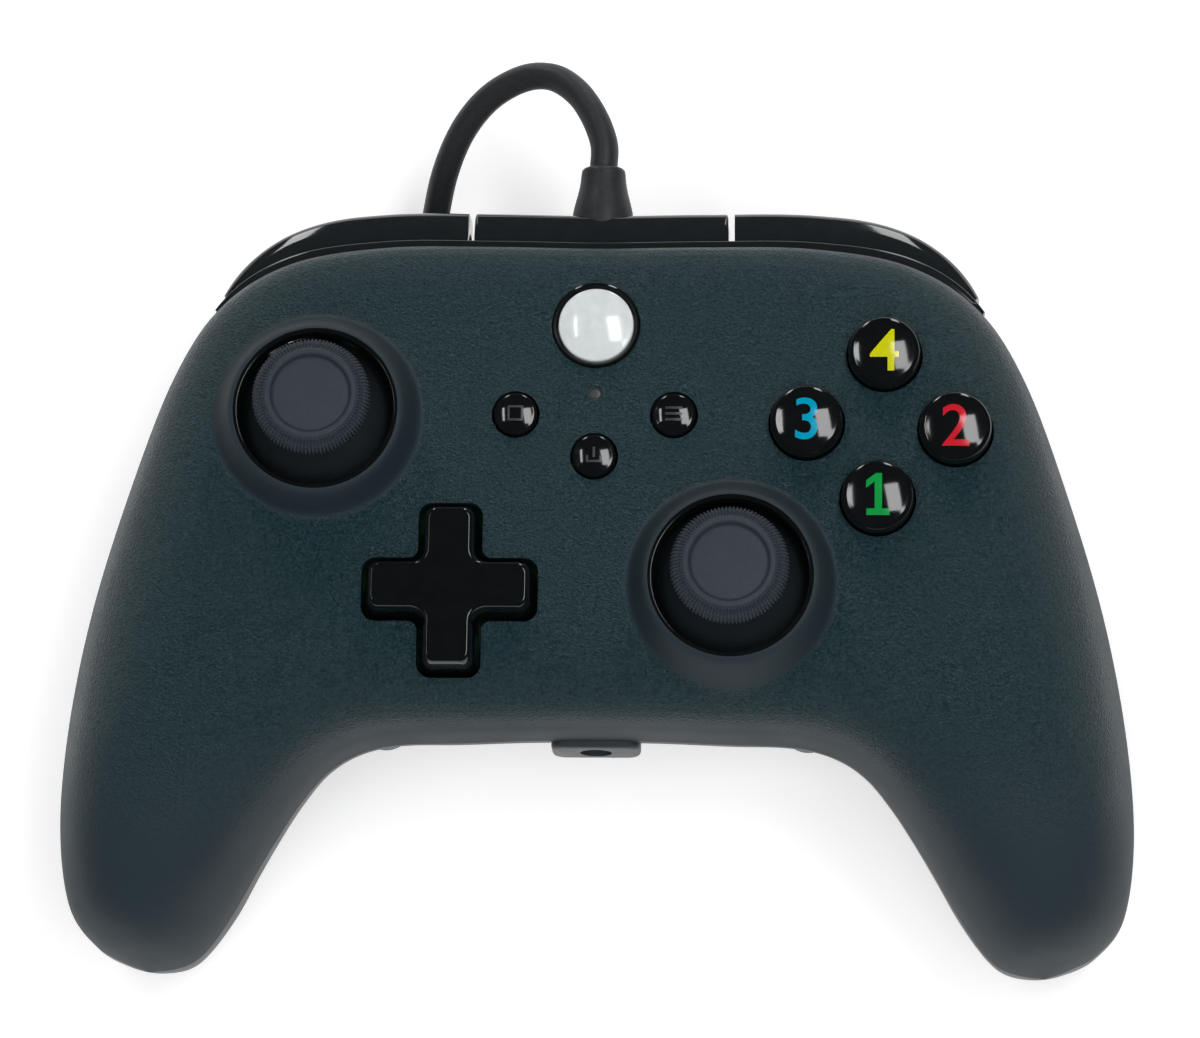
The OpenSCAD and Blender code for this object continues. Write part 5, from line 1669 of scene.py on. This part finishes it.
@dataclass
class Studio:
    """Camera, floor, world and lamps."""

    aim: Point = (0.92, 5.5, 45.0)
    distance: float = 900.0
    tilt_deg: float = 13.7
    lean_deg: float = 2.7
    roll_deg: float = 0.9
    lens: float = 193.2
    horizon: float = 0.75
    zenith: float = 0.09
    front: float = 0.2
    floor_lift: float = 0.44

    def camera(self) -> None:
        """Sets the camera over the pad, tilted towards the player."""
        lean, tilt = (math.tan(math.radians(a)) for a in (self.lean_deg, self.tilt_deg))
        back = Vector((lean, -tilt, 1)).normalized()
        right = Vector((0, 1, 0)).cross(back).normalized()
        right = Matrix.Rotation(math.radians(self.roll_deg), 3, back) @ right
        up = back.cross(right)
        data = bpy.data.cameras.new("camera")
        data.lens, data.sensor_width, data.sensor_fit = self.lens, 36.0, "HORIZONTAL"
        data.clip_start = 0.01
        made = linked("camera", data)
        place = (Vector(self.aim) + back * self.distance) * MM
        turn = Matrix((right, up, back)).transposed().to_4x4()
        made.matrix_world = Matrix.Translation(place) @ turn
        bpy.context.scene.camera = made

    def world(self) -> None:
        """Lights from all round: white at the horizon, dim overhead, lighter towards the player."""
        world = bpy.data.worlds.new("studio")
        bpy.context.scene.world = world
        world.use_nodes = True
        tree = world.node_tree
        coords = tree.nodes.new("ShaderNodeTexCoord")
        parts = tree.nodes.new("ShaderNodeSeparateXYZ")
        tree.links.new(coords.outputs["Generated"], parts.inputs[0])
        low = reckon(tree, "POWER", reckon(tree, "SUBTRACT", 1.0, parts.outputs["Z"]), 4.0)
        level = reckon(tree, "MULTIPLY_ADD", low, self.horizon - self.zenith, self.zenith)
        ahead = reckon(tree, "MAXIMUM", reckon(tree, "MULTIPLY", parts.outputs["Y"], -1.0), 0.0)
        level = reckon(tree, "MULTIPLY_ADD", reckon(tree, "POWER", ahead, 2.0), self.front, level)
        tree.links.new(level, tree.nodes["Background"].inputs["Strength"])

    def floor(self) -> None:
        """Pale floor that keeps the shadow and reads as white round it."""
        bm = bmesh.new()
        bmesh.ops.create_grid(bm, x_segments=1, y_segments=1, size=4.0)
        mesh = as_mesh(bm, "floor")
        made = linked("floor", mesh)
        made.location.z = -0.0002
        paint = bpy.data.materials.new("pale_floor")
        paint.use_nodes = True
        tree = paint.node_tree
        shader = tree.nodes["Principled BSDF"]
        preset(shader, Base_Color=(0.8, 0.8, 0.8, 1), Roughness=0.9, Emission_Color=(1, 1, 1, 1))
        path = tree.nodes.new("ShaderNodeLightPath").outputs
        seen = reckon(tree, "MAXIMUM", path["Is Camera Ray"], path["Is Glossy Ray"])
        seen = reckon(tree, "MAXIMUM", seen, path["Is Transmission Ray"])
        tree.links.new(reckon(tree, "MULTIPLY", seen, self.floor_lift), shader.inputs["Emission Strength"])
        mesh.materials.append(paint)

    def lamp(self, name: str, place: Point, size: tuple[float, float], level: float,
             roll_deg: float = 0.0) -> bpy.types.Object:
        """Adds a soft box that looks at the pad.

        Args:
            name: Its name.
            place: Its middle, in millimetres.
            size: Its sides, in millimetres.
            level: How bright its face is.
            roll_deg: Turn about the line to the pad.

        Returns:
            The lamp.
        """
        data = bpy.data.lights.new(name, "AREA")
        data.shape = "RECTANGLE"
        data.size, data.size_y = (s * MM for s in size)
        data.energy = level * math.pi * data.size * data.size_y
        made = linked(name, data)
        back = (Vector(place) - Vector((0, 0, 30))).normalized()
        across = (Vector((1, 0, 0)) - back * back.x).normalized()
        roll = Matrix.Rotation(math.radians(roll_deg), 3, "Z")
        turn = Matrix((across, back.cross(across), back)).transposed() @ roll
        made.matrix_world = Matrix.Translation(Vector(place) * MM) @ turn.to_4x4()
        return made

    def lamps(self) -> None:
        """Places the soft boxes."""
        self.lamp("key_right", (310, 190, 950), (240, 500), 8.5, 12)
        self.lamp("strip_left", (-450, 240, 950), (60, 440), 10.5)
        self.lamp("strip_back_left", (-385, 960, 380), (135, 560), 9.0)
        self.lamp("strip_back_right", (245, 960, 380), (150, 560), 8.0)
        fill = self.lamp("fill_front", (0, -480, 1040), (1600, 900), 2.6)
        fill.visible_glossy = False

    def build(self) -> None:
        """Builds floor, world and lamps."""
        self.floor()
        self.world()
        self.lamps()
        bpy.context.scene.view_settings.view_transform = "Standard"


def main() -> None:
    """Builds camera, lead, shells, controls and studio in order."""
    logging.basicConfig(level=logging.INFO, format="%(message)s")
    studio = Studio()
    studio.camera()
    Lead().build()
    shells = Shells()
    shells.face()
    shells.belly()
    TopEdge().build()
    for side in Side:
        ThumbStick(side).build()
    Face().build()
    Socket().build()
    dress_nodes()
    studio.build()


if __name__ == "__main__":
    main()
